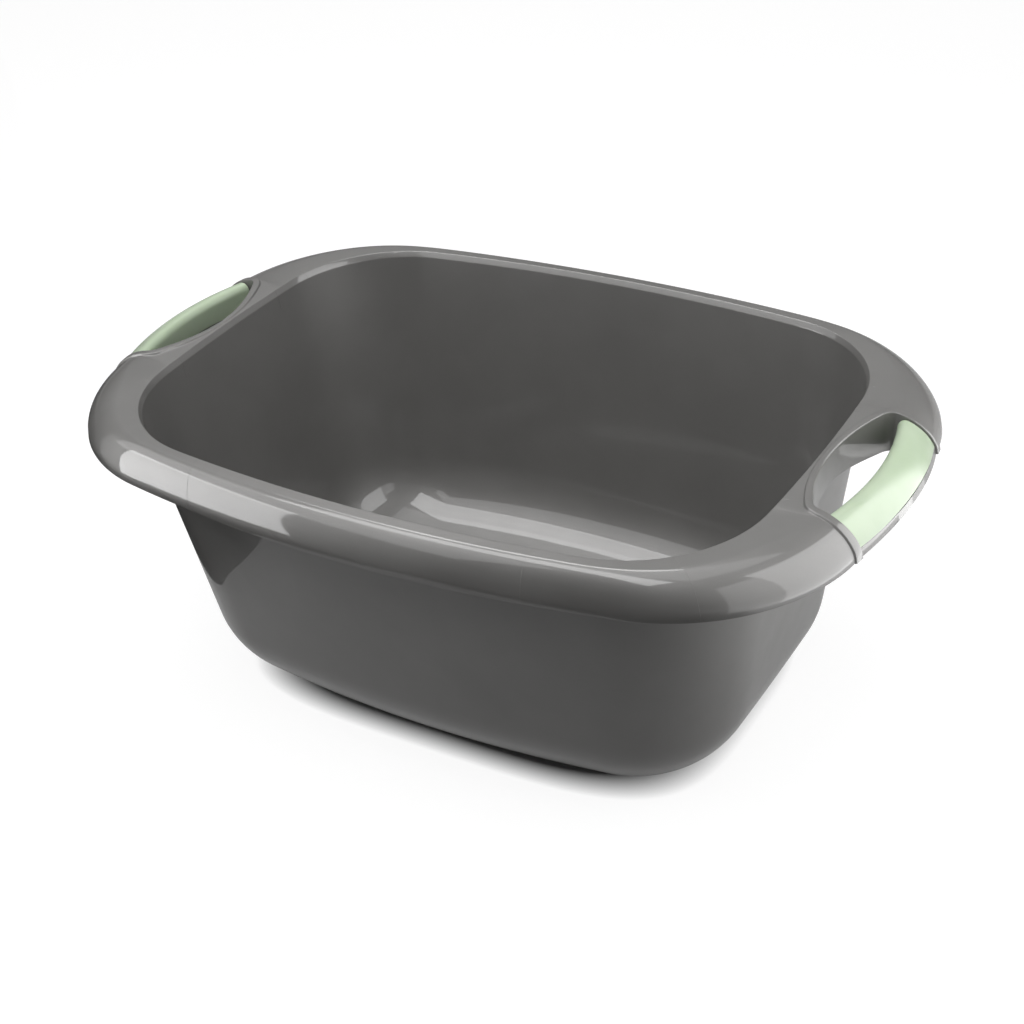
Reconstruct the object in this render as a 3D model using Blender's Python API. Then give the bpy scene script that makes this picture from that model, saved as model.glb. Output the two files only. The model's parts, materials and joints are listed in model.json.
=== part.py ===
"""Plastic wash tub with two hand holes and pale green grips.

Metres, +Z up. The tub stands on z = 0, its length runs along X and its width along Y.
Every outline is a bowed rectangle made of tangent arcs, and every skin of the moulding
is worked out from those outlines and one wall thickness.
"""
import math
from collections import namedtuple

import bmesh
import bpy
from mathutils import Matrix, Vector

# Main sizes of the tub
HEIGHT = 0.2166
WALL = 0.0018

# Opening, measured where the inner wall ends
OPENING_HALF_LENGTH = 0.2228
OPENING_HALF_WIDTH = 0.1640
OPENING_CORNER = 0.0875
OPENING_SIDE_BOW = 1.091
OPENING_END_BOW = 1.398
LIP_WIDTH = 0.0020
LIP_HEIGHT = 0.0039

# Rim, from the opening to the outer edge
RIM_END_WIDTH = 0.0572
RIM_SIDE_WIDTH = 0.0207
RIM_CORNER = 0.1196
RIM_SIDE_BOW = 1.078
RIM_END_BOW = 0.449
RIM_DROP = 0.0254
CROWN_SHARE = 0.62
CROWN_POWER = 1.77

# How far the rim falls from the opening to its outer edge, before the crown's own fall
SIDE_SLOPE = 0.0025
END_SLOPE = -0.0038

# Body, where the walls run into the rounded foot
END_TAPER = 0.0223
SIDE_TAPER = 0.0238
FOOT_CORNER = 0.0780
FOOT_SIDE_BOW = 0.919
FOOT_END_BOW = 3.690
FOOT_ROUND = 0.0650
DRAFT_ANGLE = math.radians(8.4)

# Hand holes and the bars outside them
HOLE_WEB = 0.0077
HOLE_HALF_LENGTH = 0.0600
HOLE_END_WIDTH = 0.0053
HOLE_LIP_ROUND = 0.0018
HOLE_SKIRT_DEPTH = 0.0210
HOLE_STEP_DEPTH = 0.0040
BAR_WIDTH = 0.0202
BAR_BOW = 0.0090
BAR_BULGE = 0.0042
BAR_RISE = 0.0024
BAR_ROUND = 0.0080
BAR_DEPTH = 0.0262
BAR_END_SLANT = 0.09

# Raised collars round the hand holes
COLLAR_WIDTH = 0.0060
COLLAR_FLARE = 0.0020
COLLAR_HEIGHT = 0.0014
COLLAR_LOW_HEIGHT = 0.0005
COLLAR_FLANK = 0.0005
COLLAR_ROUND = 0.0006
COLLAR_CLEARANCE = 0.0002

# Grips, which lie in a recess round the top of each bar
GRIP_WALL = 0.0018
GRIP_GAP = 0.0003
GRIP_END_GAP = 0.0005
GRIP_INNER_DEPTH = 0.0235
GRIP_OUTER_DEPTH = 0.0207
RECESS = GRIP_WALL + GRIP_GAP

# Where the mesh lines of the corner fan out from
FAN_X = 0.130
FAN_Y = 0.088

# Mesh counts
HOLE_SIDE_STEPS = 5
HOLE_CORNER_STEPS = 3
END_STEPS = 2
CORNER_STEPS = 9
SIDE_STEPS = 4
FOOT_STEPS = 5
CROWN_STEPS = 5
BAR_ROUND_STEPS = 3
RIM_STEPS = CROWN_STEPS + BAR_ROUND_STEPS
BAR_STATIONS = 6
RELAX_STEPS = 4
SEARCH_STEPS = 3
WINDOW_STEPS = HOLE_SIDE_STEPS + HOLE_CORNER_STEPS
FLOOR_SHARES = (0.40, 0.80)
GUIDE_SHARE = 0.3
NUDGE_SHARE = 0.001

MERGE = 0.00001
SHARP_ANGLE = math.radians(30)
QUARTER = math.pi / 2

Outline = namedtuple("Outline", "a b corner side_bow end_bow")
Column = namedtuple("Column", "kind value")

OPENING = Outline(OPENING_HALF_LENGTH, OPENING_HALF_WIDTH, OPENING_CORNER,
                  OPENING_SIDE_BOW, OPENING_END_BOW)
RIM = Outline(OPENING_HALF_LENGTH + RIM_END_WIDTH, OPENING_HALF_WIDTH + RIM_SIDE_WIDTH,
              RIM_CORNER, RIM_SIDE_BOW, RIM_END_BOW)
FOOT = Outline(OPENING_HALF_LENGTH - END_TAPER, OPENING_HALF_WIDTH - SIDE_TAPER,
               FOOT_CORNER, FOOT_SIDE_BOW, FOOT_END_BOW)


def grown(outline, offset):
    """The same outline, moved outwards by an offset."""
    return Outline(*(value + offset for value in outline))


CREST = grown(OPENING, LIP_WIDTH)


def scaled(outline, share):
    """The same outline, made smaller about the middle."""
    return Outline(*(value * share for value in outline))


def arcs(outline):
    """Centre, radius and angle range of the end, corner and side arcs in one quarter."""
    a, b, corner, side_bow, end_bow = outline
    side = Vector((0, b - side_bow))
    end = Vector((a - end_bow, 0))
    reach_side = side_bow - corner
    reach_end = end_bow - corner
    between = end - side
    gap = between.length
    along = (reach_side ** 2 - reach_end ** 2 + gap ** 2) / (2 * gap)
    across = math.sqrt(max(reach_side ** 2 - along ** 2, 0))
    unit = between / gap
    centre = side + unit * along + Vector((unit.y, -unit.x)) * across
    turn_end = math.atan2(centre.y - end.y, centre.x - end.x)
    turn_side = math.atan2(centre.y - side.y, centre.x - side.x)
    return ((end, end_bow, 0, turn_end), (centre, corner, turn_end, turn_side),
            (side, side_bow, turn_side, QUARTER))


def crossing(outline, start, direction):
    """Where a ray from inside the quarter meets the outline."""
    best = None
    for centre, radius, first, last in arcs(outline):
        offset = start - centre
        half = offset.dot(direction)
        inside = half ** 2 - offset.length_squared + radius ** 2
        if inside < 0:
            continue
        point = start + direction * (math.sqrt(inside) - half)
        angle = math.atan2(point.y - centre.y, point.x - centre.x)
        miss = max(first - angle, angle - last, 0)
        if best is None or miss < best[0]:
            best = (miss, point)
    return best[1]


def end_x(outline, y):
    """How far the end of an outline reaches along X at a given y."""
    return crossing(outline, Vector((0, y)), Vector((1, 0))).x


def on_outline(outline, column, share_x=1, share_y=1):
    """The point where one column of the mesh meets an outline."""
    if column.kind == "end":
        return crossing(outline, Vector((0, column.value * share_y)), Vector((1, 0)))
    if column.kind == "side":
        return crossing(outline, Vector((column.value * share_x, 0)), Vector((0, 1)))
    start = Vector((FAN_X * share_x, FAN_Y * share_y))
    return crossing(outline, start, Vector((math.cos(column.value), math.sin(column.value))))


def smooth(share):
    """Runs from 0 to 1 with level ends."""
    share = min(max(share, 0), 1)
    return share * share * (3 - 2 * share)


def mix(first, second, share):
    """A point or number part of the way from one to another."""
    return first * (1 - share) + second * share


def crown_out(turn):
    """Share of a width reached at a turn, crowded towards the outer edge like the crown."""
    return math.sin(turn) ** (2 / CROWN_POWER)


def crown_left(share):
    """Share of the crown's height that is left at a share of its width."""
    return (1 - min(max(share, 0), 1) ** CROWN_POWER) ** (1 / CROWN_POWER)


OUTER_TURN = math.acos((1 - (GRIP_OUTER_DEPTH + GRIP_GAP) / RIM_DROP) ** (CROWN_POWER / 2))
RIM_TURNS = [OUTER_TURN * step / RIM_STEPS for step in range(RIM_STEPS + 1)] + [QUARTER]


def crown_start_x(y):
    """Where the crown begins at the tub's end."""
    outer = end_x(RIM, y)
    return outer - CROWN_SHARE * (outer - end_x(CREST, y))


def crown_share(x, y):
    """How far x lies on the crown at the tub's end, 0 to 1."""
    start = crown_start_x(y)
    return min(max((x - start) / (end_x(RIM, y) - start), 0), 1)


def on_rim(x, y, raised):
    """A point of the rim at the tub's end, raised or sunk along the surface."""
    share = crown_share(x, y)
    height = HEIGHT - RIM_DROP + (RIM_DROP + raised) * crown_left(share)
    return Vector((x + raised * share, y, height))


# Plan of the hand hole: the tub's side, a round corner and a slanted end
HOLE_X = OPENING_HALF_LENGTH + HOLE_WEB
BAR_X = OPENING_HALF_LENGTH + RIM_END_WIDTH - BAR_WIDTH
BAR_RADIUS = (HOLE_HALF_LENGTH ** 2 + BAR_BOW ** 2) / (2 * BAR_BOW)
HOLE_BOW = BAR_X - HOLE_X - BAR_BOW - HOLE_END_WIDTH
HOLE_RADIUS = (HOLE_HALF_LENGTH ** 2 + HOLE_BOW ** 2) / (2 * HOLE_BOW)
HOLE_CENTRE = Vector((HOLE_X + HOLE_RADIUS, 0))
CORNER_X = BAR_X - BAR_BOW
HOLE_CORNER = ((HOLE_RADIUS ** 2 - (HOLE_CENTRE.x - CORNER_X) ** 2 - HOLE_HALF_LENGTH ** 2)
               / (2 * (HOLE_RADIUS - HOLE_HALF_LENGTH)))
CORNER_CENTRE = Vector((CORNER_X, HOLE_HALF_LENGTH - HOLE_CORNER))


def bar_inner_x(y):
    """The bar's inner side, a long arc that bulges away from the tub."""
    return BAR_X - BAR_RADIUS + math.sqrt(BAR_RADIUS ** 2 - y ** 2)


def bar_end_y(x, offset):
    """The slanted line at which the bar ends, moved towards the corner by an offset."""
    return HOLE_HALF_LENGTH + offset + BAR_END_SLANT * (x - CORNER_X)


def hole_edge(step):
    """Point, outward direction and share of the way round the hole's tub side."""
    turn = math.atan2(CORNER_CENTRE.y, HOLE_CENTRE.x - CORNER_CENTRE.x)
    if step <= HOLE_SIDE_STEPS:
        angle = turn * step / HOLE_SIDE_STEPS
        outward = Vector((-math.cos(angle), math.sin(angle)))
        return HOLE_CENTRE + outward * HOLE_RADIUS, outward
    angle = mix(turn, QUARTER, (step - HOLE_SIDE_STEPS) / HOLE_CORNER_STEPS)
    outward = Vector((-math.cos(angle), math.sin(angle)))
    return CORNER_CENTRE + outward * HOLE_CORNER, outward


def window_share(step):
    """How far a step lies between the hole's middle and its corner, 0 to 1."""
    return smooth(hole_edge(step)[0].y / HOLE_HALF_LENGTH)


def collar_width(step):
    """The collar narrows where the tub's wall comes close to the hole."""
    narrow = HOLE_WEB - LIP_WIDTH - COLLAR_CLEARANCE
    return mix(narrow, COLLAR_WIDTH, hole_edge(step)[0].y / HOLE_HALF_LENGTH)


def collar_section(step, turn_share):
    """Distances from the hole and heights above the rim, from the foot to the hole's wall."""
    if step > WINDOW_STEPS:
        width = COLLAR_WIDTH + COLLAR_FLARE * turn_share
        height = COLLAR_HEIGHT
        edge = COLLAR_ROUND
    else:
        width = collar_width(step)
        height = mix(COLLAR_LOW_HEIGHT, COLLAR_HEIGHT, window_share(step))
        edge = mix(HOLE_LIP_ROUND, COLLAR_ROUND, window_share(step))
    bend = math.cos(QUARTER / 2)
    top = width - COLLAR_FLANK
    return [(width, 0), (top, height), ((top + edge) / 2, height), (edge, height),
            (edge * (1 - bend), height - edge * (1 - bend)), (0, height - edge)]


def back_section(step, turn_share):
    """The underside has no collar: it runs flat to the back of the hole's wall."""
    width = collar_section(step, turn_share)[0][0]
    return [(width, -WALL), (WALL, -WALL)]


def corner_x(sunk):
    """Where the bar's inner side, sunk into the bar, meets its end line."""
    x = CORNER_X
    for _ in range(SEARCH_STEPS):
        x = bar_inner_x(min(bar_end_y(x, sunk), HOLE_HALF_LENGTH + sunk)) + sunk
    return x


def collar_node(step, distance, raised, sunk):
    """A point of the collar: round the hole's tub side, then across the bar's end."""
    if step < WINDOW_STEPS:
        edge, outward = hole_edge(step)
        place = edge + outward * distance
        return on_rim(place.x, place.y, raised)
    y = HOLE_HALF_LENGTH + distance
    for _ in range(SEARCH_STEPS):
        x = mix(corner_x(sunk), end_x(RIM, y), crown_out(RIM_TURNS[step - WINDOW_STEPS]))
        y = bar_end_y(x, distance)
    return on_rim(x, y, raised)


COLLAR_STEPS = WINDOW_STEPS + len(RIM_TURNS) - 1


def turn_share_of(step):
    """How far down the crown a step of the collar lies, 0 to 1."""
    down = step - WINDOW_STEPS
    return RIM_TURNS[down] / QUARTER if down > 0 else 0


def collar_grid(back):
    """The collar's mesh: one row for each step round the hole and across the bar's end."""
    rows = []
    for step in range(COLLAR_STEPS + 1):
        share = turn_share_of(step)
        section = back_section(step, share) if back else collar_section(step, share)
        sunk = WALL if back else 0
        rows.append([collar_node(step, distance, raised, sunk) for distance, raised in section])
    return rows


# Columns of the quarter mesh, from the middle of the end to the middle of the long side
def window_reach():
    """How far along Y the handle's window reaches on the opening."""
    return HOLE_HALF_LENGTH + COLLAR_WIDTH + COLLAR_FLARE


def all_columns():
    """Straight columns at the end and the side, and a fan of them round the corner."""
    edges = [collar_node(step, collar_section(step, 0)[0][0], 0, 0).xy
             for step in range(WINDOW_STEPS + 1)]
    lengths = [0]
    for first, second in zip(edges, edges[1:]):
        lengths.append(lengths[-1] + (second - first).length)
    columns = [Column("end", window_reach() * length / lengths[-1]) for length in lengths]
    for step in range(1, END_STEPS + 1):
        columns.append(Column("end", mix(window_reach(), FAN_Y, step / END_STEPS)))
    for step in range(1, CORNER_STEPS):
        columns.append(Column("fan", QUARTER * step / CORNER_STEPS))
    for step in range(SIDE_STEPS + 1):
        columns.append(Column("side", FAN_X * (1 - step / SIDE_STEPS)))
    return columns


COLUMNS = all_columns()


def ring(outline, z, share_x=1, share_y=1):
    """One closed line of the tub at a height, over all columns."""
    return [on_outline(outline, column, share_x, share_y).to_3d() + Vector((0, 0, z))
            for column in COLUMNS]


def floor_rings(sunk):
    """The flat floor, inside the rounded foot."""
    radius = min(FOOT_ROUND, FOOT_CORNER)
    floor = grown(FOOT, -radius * math.cos(DRAFT_ANGLE))
    share_x = floor.a / FOOT.a
    share_y = floor.b / FOOT.b
    return [ring(scaled(floor, share), WALL - sunk, share_x * share, share_y * share)
            for share in FLOOR_SHARES]


def foot_rings(sunk):
    """The rounded foot, from the floor up to where it touches the slanted wall."""
    radius = min(FOOT_ROUND, FOOT_CORNER)
    rings = []
    for step in range(FOOT_STEPS + 1):
        turn = mix(QUARTER, DRAFT_ANGLE, step / FOOT_STEPS)
        inward = radius * (math.cos(turn) - math.cos(DRAFT_ANGLE))
        middle = grown(FOOT, inward)
        outline = grown(middle, sunk * math.cos(turn))
        z = WALL + radius * (1 - math.sin(turn)) - sunk * math.sin(turn)
        rings.append(ring(outline, z, middle.a / FOOT.a, middle.b / FOOT.b))
    return rings


def lip_rings(sunk):
    """The steep band round the opening, from the wall's end up to the crest."""
    return [ring(grown(OPENING, sunk), HEIGHT - LIP_HEIGHT), ring(CREST, HEIGHT - sunk)]


def rim_node(index, turn, sunk):
    """A point of the rim on one column, from beside the handle's window to the outer edge."""
    column = COLUMNS[index]
    corner = collar_node(WINDOW_STEPS, collar_section(WINDOW_STEPS, 0)[0][0], -sunk, sunk)
    crest = end_x(CREST, corner.y)
    tight_share = (corner.x - crest) / (end_x(RIM, corner.y) - crest)
    start_share = mix(tight_share, GUIDE_SHARE, smooth((index - WINDOW_STEPS) / RELAX_STEPS))
    share = mix(start_share, 1, crown_out(turn))
    inner = on_outline(CREST, column)
    outer = on_outline(RIM, column)
    on_crown = max((share - 1 + CROWN_SHARE) / CROWN_SHARE, 0)
    place = mix(inner, outer, share) - (outer - inner).normalized() * sunk * on_crown
    z = HEIGHT - RIM_DROP + (RIM_DROP - sunk) * crown_left(on_crown)
    return place.to_3d() + Vector((0, 0, z))


def guide_ring(sunk):
    """The line that passes the handle on the tub's side of its collar."""
    nodes = []
    for index in range(len(COLUMNS)):
        if index <= WINDOW_STEPS:
            distance = collar_section(index, 0)[0][0]
            nodes.append(collar_node(index, distance, -sunk, sunk))
        else:
            nodes.append(rim_node(index, 0, sunk))
    return nodes


def tub_grid(sunk):
    """Floor, foot, wall, lip and the inner part of the rim."""
    return floor_rings(sunk) + foot_rings(sunk) + lip_rings(sunk) + [guide_ring(sunk)]


def rim_grid(sunk):
    """The outer part of the rim, beside the handle's window and round the corner."""
    first = []
    for step in range(WINDOW_STEPS, COLLAR_STEPS + 1):
        distance = collar_section(step, turn_share_of(step))[0][0]
        first.append(collar_node(step, distance, -sunk, sunk))
    columns = [first]
    for index in range(WINDOW_STEPS + 1, len(COLUMNS)):
        columns.append([rim_node(index, turn, sunk) for turn in RIM_TURNS])
    return columns


def wall_grid(collar, back):
    """The wall that hangs down round the hole's tub side, deeper towards the bar."""
    sunk = WALL if back else 0
    rows = []
    for step in range(WINDOW_STEPS + 1):
        share = window_share(step)
        below = collar_node(step, sunk, 0, sunk)
        middle = HEIGHT - mix(HOLE_STEP_DEPTH, GRIP_INNER_DEPTH + GRIP_GAP + sunk, share)
        low = HEIGHT - mix(HOLE_SKIRT_DEPTH, BAR_DEPTH, share)
        rows.append([collar[step][-1], Vector((below.x, below.y, middle)),
                     Vector((below.x, below.y, low))])
    return rows


# Section of the bar: a straight inner side, a round, then the rim's crown
def crown_drop(x, y):
    """How far the crown has fallen at x."""
    return RIM_DROP * (1 - crown_left(crown_share(x, y)))


def bar_profile(y, place):
    """The bar's outer form: place 0 to 1 is the round, 1 to 2 the crown."""
    inner = bar_inner_x(min(y, HOLE_HALF_LENGTH + WALL))
    if place <= 1:
        turn = QUARTER * place
        x = inner + BAR_ROUND * (1 - math.cos(turn))
        return x, HEIGHT - BAR_ROUND * (1 - math.sin(turn)) - crown_drop(x, y)
    start = crown_start_x(y)
    first = math.asin(crown_share(inner + BAR_ROUND, y) ** (CROWN_POWER / 2))
    x = mix(start, end_x(RIM, y), crown_out(mix(first, QUARTER, place - 1)))
    return x, HEIGHT - crown_drop(x, y)


def bar_point(y, place, depth):
    """A point below the bar's outer form, square to it."""
    if place <= 0:
        x, z = bar_profile(y, 0)
        return x + depth, z
    if place >= 2:
        x, z = bar_profile(y, 2)
        return x - depth, z
    x0, z0 = bar_profile(y, place - NUDGE_SHARE)
    x1, z1 = bar_profile(y, place + NUDGE_SHARE)
    x, z = bar_profile(y, place)
    length = math.hypot(x1 - x0, z1 - z0)
    return x + depth * (z1 - z0) / length, z - depth * (x1 - x0) / length


def outer_place(depth):
    """The place on the crown that lies at a depth below the rim's top."""
    first = math.asin(crown_share(BAR_X + BAR_ROUND, 0) ** (CROWN_POWER / 2))
    turn = math.acos((1 - min(depth / RIM_DROP, 1)) ** (CROWN_POWER / 2))
    return 1 + (turn - first) / (QUARTER - first)


def bar_node(share, offset, rule):
    """Places a section point at a share of the bar's half length, on the swollen bar."""
    y = share * HOLE_HALF_LENGTH
    for _ in range(SEARCH_STEPS):
        x, z = rule(y)
        y = share * bar_end_y(x, offset)
    swell = 1 - share ** 2
    inner = bar_inner_x(y)
    outward = min(max((x - inner) / (end_x(RIM, y) - inner), 0), 1)
    return Vector((x + BAR_BULGE * swell * outward, y, z + BAR_RISE * swell))


def saddle_rules(inner_depth, outer_depth, depth):
    """Section points over the bar, from the inner side to the outer side, at a depth."""
    last = outer_place(outer_depth)
    rules = [lambda y: (bar_point(y, 0, depth)[0], HEIGHT - inner_depth)]
    for step in range(BAR_ROUND_STEPS + 1):
        place = step / BAR_ROUND_STEPS
        rules.append(lambda y, place=place: bar_point(y, place, depth))
    for step in range(1, CROWN_STEPS + 1):
        place = mix(1, last, step / CROWN_STEPS)
        rules.append(lambda y, place=place: bar_point(y, place, depth))
    return rules


def strip_rules(inner, sunk):
    """Section points of the bar's straight inner side, below the grip."""
    return [lambda y: (bar_point(y, 0, sunk)[0], HEIGHT - BAR_DEPTH),
            lambda y: (bar_point(y, 0, sunk)[0], HEIGHT - inner)]


def bar_grid(back):
    """The bar under the grip, with the strips that stay in view below it."""
    sunk = WALL if back else 0
    inner = GRIP_INNER_DEPTH + GRIP_GAP + sunk
    outer = GRIP_OUTER_DEPTH + GRIP_GAP + sunk
    edge = outer_place(outer)
    rules = strip_rules(inner, sunk)
    rules += saddle_rules(inner, outer, RECESS + sunk)
    rules += [lambda y: bar_point(y, edge, sunk), lambda y: bar_point(y, 2, sunk)]
    return [[bar_node(step / BAR_STATIONS, sunk, rule) for rule in rules]
            for step in range(BAR_STATIONS + 1)]


# The slope of the rim, which lowers or raises whatever stands on it
def slope_at(crest):
    """The fall of the rim where a ray crosses the crest: one at the sides, another at the ends."""
    end_part = (crest.x / CREST.a) ** 2
    side_part = (crest.y / CREST.b) ** 2
    return mix(SIDE_SLOPE, END_SLOPE, end_part / (end_part + side_part))


def ray_through(place):
    """Start and direction of the mesh's ray through a point of the quarter."""
    if place.x <= FAN_X:
        return Vector((place.x, 0)), Vector((0, 1))
    if place.y <= FAN_Y:
        return Vector((0, place.y)), Vector((1, 0))
    start = Vector((FAN_X, FAN_Y))
    return start, (place - start).normalized()


def sloped(point):
    """Moves a point of the rim down or up by the slope at its place."""
    place = point.xy
    if place.length < CREST.b:
        return point
    start, direction = ray_through(place)
    crest = crossing(CREST, start, direction)
    inner = (crest - start).length
    outer = (crossing(RIM, start, direction) - start).length
    share = max(((place - start).length - inner) / (outer - inner), 0)
    return point - Vector((0, 0, slope_at(crest) * share))


# Meshes
def add_face(bm, points):
    """Adds one face, leaving out points that lie on each other."""
    kept = []
    for point in points:
        if not kept or (point - kept[-1]).length > MERGE:
            kept.append(point)
    if len(kept) > 1 and (kept[0] - kept[-1]).length <= MERGE:
        kept.pop()
    if len(kept) > 2:
        bm.faces.new([bm.verts.new(point) for point in kept])


def add_grid(bm, rows):
    """Adds a sheet of four-sided faces between rows of points."""
    for first, second in zip(rows, rows[1:]):
        for index in range(len(first) - 1):
            add_face(bm, (first[index], first[index + 1], second[index + 1], second[index]))


def add_end_wall(bm, collar, wall, bar):
    """The upright face in which the bar ends, between the collar and the bar's section."""
    edge = [row[-1] for row in collar[WINDOW_STEPS:]]
    section = bar[-1]
    round_start = len(strip_rules(0, 0)) + 1
    add_face(bm, (edge[0], wall[-1][1], section[2], section[round_start]))
    last = len(edge) - 2
    for index in range(last):
        add_face(bm, (edge[index], section[round_start + index],
                      section[round_start + index + 1], edge[index + 1]))
    low = round_start + last
    add_face(bm, (edge[last], section[low], section[low + 1]))
    add_face(bm, (edge[last], section[low + 1], section[low + 2], edge[last + 1]))


def add_skin(bm, back):
    """One whole skin of a quarter of the tub. Returns the lines where it ends below."""
    sunk = WALL if back else 0
    tub = tub_grid(sunk)
    rim = rim_grid(sunk)
    collar = collar_grid(back)
    wall = wall_grid(collar, back)
    bar = bar_grid(back)
    add_grid(bm, tub)
    middle = Vector((0, 0, tub[0][0].z))
    for first, second in zip(tub[0], tub[0][1:]):
        add_face(bm, (middle, first, second))
    add_grid(bm, rim)
    add_grid(bm, collar)
    add_grid(bm, wall)
    add_grid(bm, bar)
    add_end_wall(bm, collar, wall, bar)
    skirt = [column[-1] for column in reversed(rim[1:])]
    collar_end = list(collar[-1])
    bar_end = [row[-1] for row in reversed(bar)]
    hole = [row[-1] for row in wall] + [row[0] for row in reversed(bar[:-1])]
    return skirt, collar_end, bar_end, hole


def add_strip(bm, first, second):
    """Joins the two skins along one line where they end."""
    add_grid(bm, (first, second))


def tub_mesh():
    """A quarter of the tub, open where its mirrored copies join on."""
    bm = bmesh.new()
    skirt, collar_end, bar_end, hole = add_skin(bm, False)
    back_skirt, back_collar, back_bar, back_hole = add_skin(bm, True)
    add_strip(bm, skirt + collar_end[:1], back_skirt + back_collar[:1])
    add_face(bm, collar_end + [bar_end[0], back_bar[0]] + back_collar[::-1])
    add_strip(bm, bar_end, back_bar)
    add_strip(bm, hole, back_hole)
    bmesh.ops.remove_doubles(bm, verts=bm.verts, dist=MERGE)
    for vertex in bm.verts:
        vertex.co = sloped(vertex.co)
    bmesh.ops.recalc_face_normals(bm, faces=bm.faces)
    floor = min(bm.faces, key=lambda face: face.calc_center_median().z)
    if floor.normal.z > 0:
        bmesh.ops.reverse_faces(bm, faces=bm.faces)
    mesh = bpy.data.meshes.new("tub")
    bm.to_mesh(mesh)
    bm.free()
    return mesh


def grip_mesh():
    """The saddle-shaped cover over the bar, with square ends."""
    skins = []
    for depth in (0, GRIP_WALL):
        rules = saddle_rules(GRIP_INNER_DEPTH, GRIP_OUTER_DEPTH, depth)
        skins.append([[bar_node(step / BAR_STATIONS, -GRIP_END_GAP, rule) for rule in rules]
                      for step in range(BAR_STATIONS + 1)])
    outside, inside = skins
    bm = bmesh.new()
    add_grid(bm, outside)
    add_grid(bm, inside)
    add_grid(bm, [[row[0] for row in outside], [row[0] for row in inside]])
    add_grid(bm, [[row[-1] for row in outside], [row[-1] for row in inside]])
    add_grid(bm, [outside[-1], inside[-1]])
    bmesh.ops.remove_doubles(bm, verts=bm.verts, dist=MERGE)
    for vertex in bm.verts:
        vertex.co = sloped(vertex.co)
    bmesh.ops.recalc_face_normals(bm, faces=bm.faces)
    top = max(bm.faces, key=lambda face: face.calc_center_median().z)
    if top.normal.z < 0:
        bmesh.ops.reverse_faces(bm, faces=bm.faces)
    mesh = bpy.data.meshes.new("grip")
    bm.to_mesh(mesh)
    bm.free()
    return mesh


def material(name, colour, roughness, metallic):
    """A Principled material."""
    made = bpy.data.materials.new(name)
    made.use_nodes = True
    shader = made.node_tree.nodes["Principled BSDF"]
    shader.inputs["Base Color"].default_value = (*colour, 1)
    shader.inputs["Roughness"].default_value = roughness
    shader.inputs["Metallic"].default_value = metallic
    made.diffuse_color = (*colour, 1)
    return made


def grey_plastic():
    """Dark grey polypropylene with a faint pearl sheen."""
    return material("grey_plastic", (0.105, 0.104, 0.100), 0.28, 0.15)


def green_plastic():
    """Pale green glossy plastic of the grips."""
    return material("green_plastic", (0.640, 0.780, 0.530), 0.25, 0.0)


def place(name, mesh, finish, axes):
    """Puts a mesh in the scene with its finish and the mirrors that complete it."""
    if not mesh.materials:
        mesh.materials.append(finish)
        mesh.shade_smooth()
        mesh.set_sharp_from_angle(angle=SHARP_ANGLE)
    made = bpy.data.objects.new(name, mesh)
    bpy.context.scene.collection.objects.link(made)
    mirror = made.modifiers.new("halves", "MIRROR")
    mirror.use_axis = axes
    mirror.merge_threshold = MERGE
    return made


def build():
    """Clears the scene and models the three pieces."""
    for old in list(bpy.data.objects):
        bpy.data.objects.remove(old, do_unlink=True)
    place("tub", tub_mesh(), grey_plastic(), (True, True, False))
    cover = grip_mesh()
    green = green_plastic()
    place("right_grip", cover, green, (False, True, False))
    left = place("left_grip", cover, green, (False, True, False))
    left.matrix_world = Matrix.Rotation(math.pi, 4, "Z")


build()
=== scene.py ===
"""Plastic wash tub with two hand holes and pale green grips, dressed for the studio.

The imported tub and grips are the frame. Each gets a finer model of the same form here:
the tub as one moulding with rounded edges, the grips as saddles over its two bars.
"""
import json
import logging
import math
from dataclasses import astuple, dataclass
from enum import Enum
from functools import cached_property
from typing import Callable, NamedTuple, Sequence

import bmesh
import bpy
from mathutils import Matrix, Vector

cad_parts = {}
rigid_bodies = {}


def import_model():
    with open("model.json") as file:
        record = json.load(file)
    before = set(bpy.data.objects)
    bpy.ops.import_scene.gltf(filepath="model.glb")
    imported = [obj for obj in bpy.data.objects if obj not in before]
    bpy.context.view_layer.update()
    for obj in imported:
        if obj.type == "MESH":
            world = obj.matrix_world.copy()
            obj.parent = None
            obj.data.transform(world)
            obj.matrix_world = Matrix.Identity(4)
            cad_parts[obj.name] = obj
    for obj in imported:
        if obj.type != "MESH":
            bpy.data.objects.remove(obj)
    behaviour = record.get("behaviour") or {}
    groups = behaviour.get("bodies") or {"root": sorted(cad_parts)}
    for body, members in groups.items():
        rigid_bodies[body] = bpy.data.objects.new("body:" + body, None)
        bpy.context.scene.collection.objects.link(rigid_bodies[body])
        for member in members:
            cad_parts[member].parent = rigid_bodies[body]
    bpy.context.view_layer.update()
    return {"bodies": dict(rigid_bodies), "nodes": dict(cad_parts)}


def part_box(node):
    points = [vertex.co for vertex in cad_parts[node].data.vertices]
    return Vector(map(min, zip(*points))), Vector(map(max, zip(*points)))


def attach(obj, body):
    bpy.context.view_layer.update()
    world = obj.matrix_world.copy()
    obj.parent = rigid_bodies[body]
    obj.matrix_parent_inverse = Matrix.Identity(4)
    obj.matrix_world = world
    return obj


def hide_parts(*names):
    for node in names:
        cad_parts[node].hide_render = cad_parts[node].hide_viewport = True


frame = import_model()

LOG = logging.getLogger("wash_tub")
QUARTER = math.pi / 2
# Points closer than this are one.
MERGE = 0.00001
# Rounds after which two places that depend on each other agree.
SETTLING = 3
# Along the tub and across it: the rim's width, and how far the wall leans in to the foot.
RIM_WIDTH = (0.0572, 0.0207)
WALL_LEAN = (0.0223, 0.0238)
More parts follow.
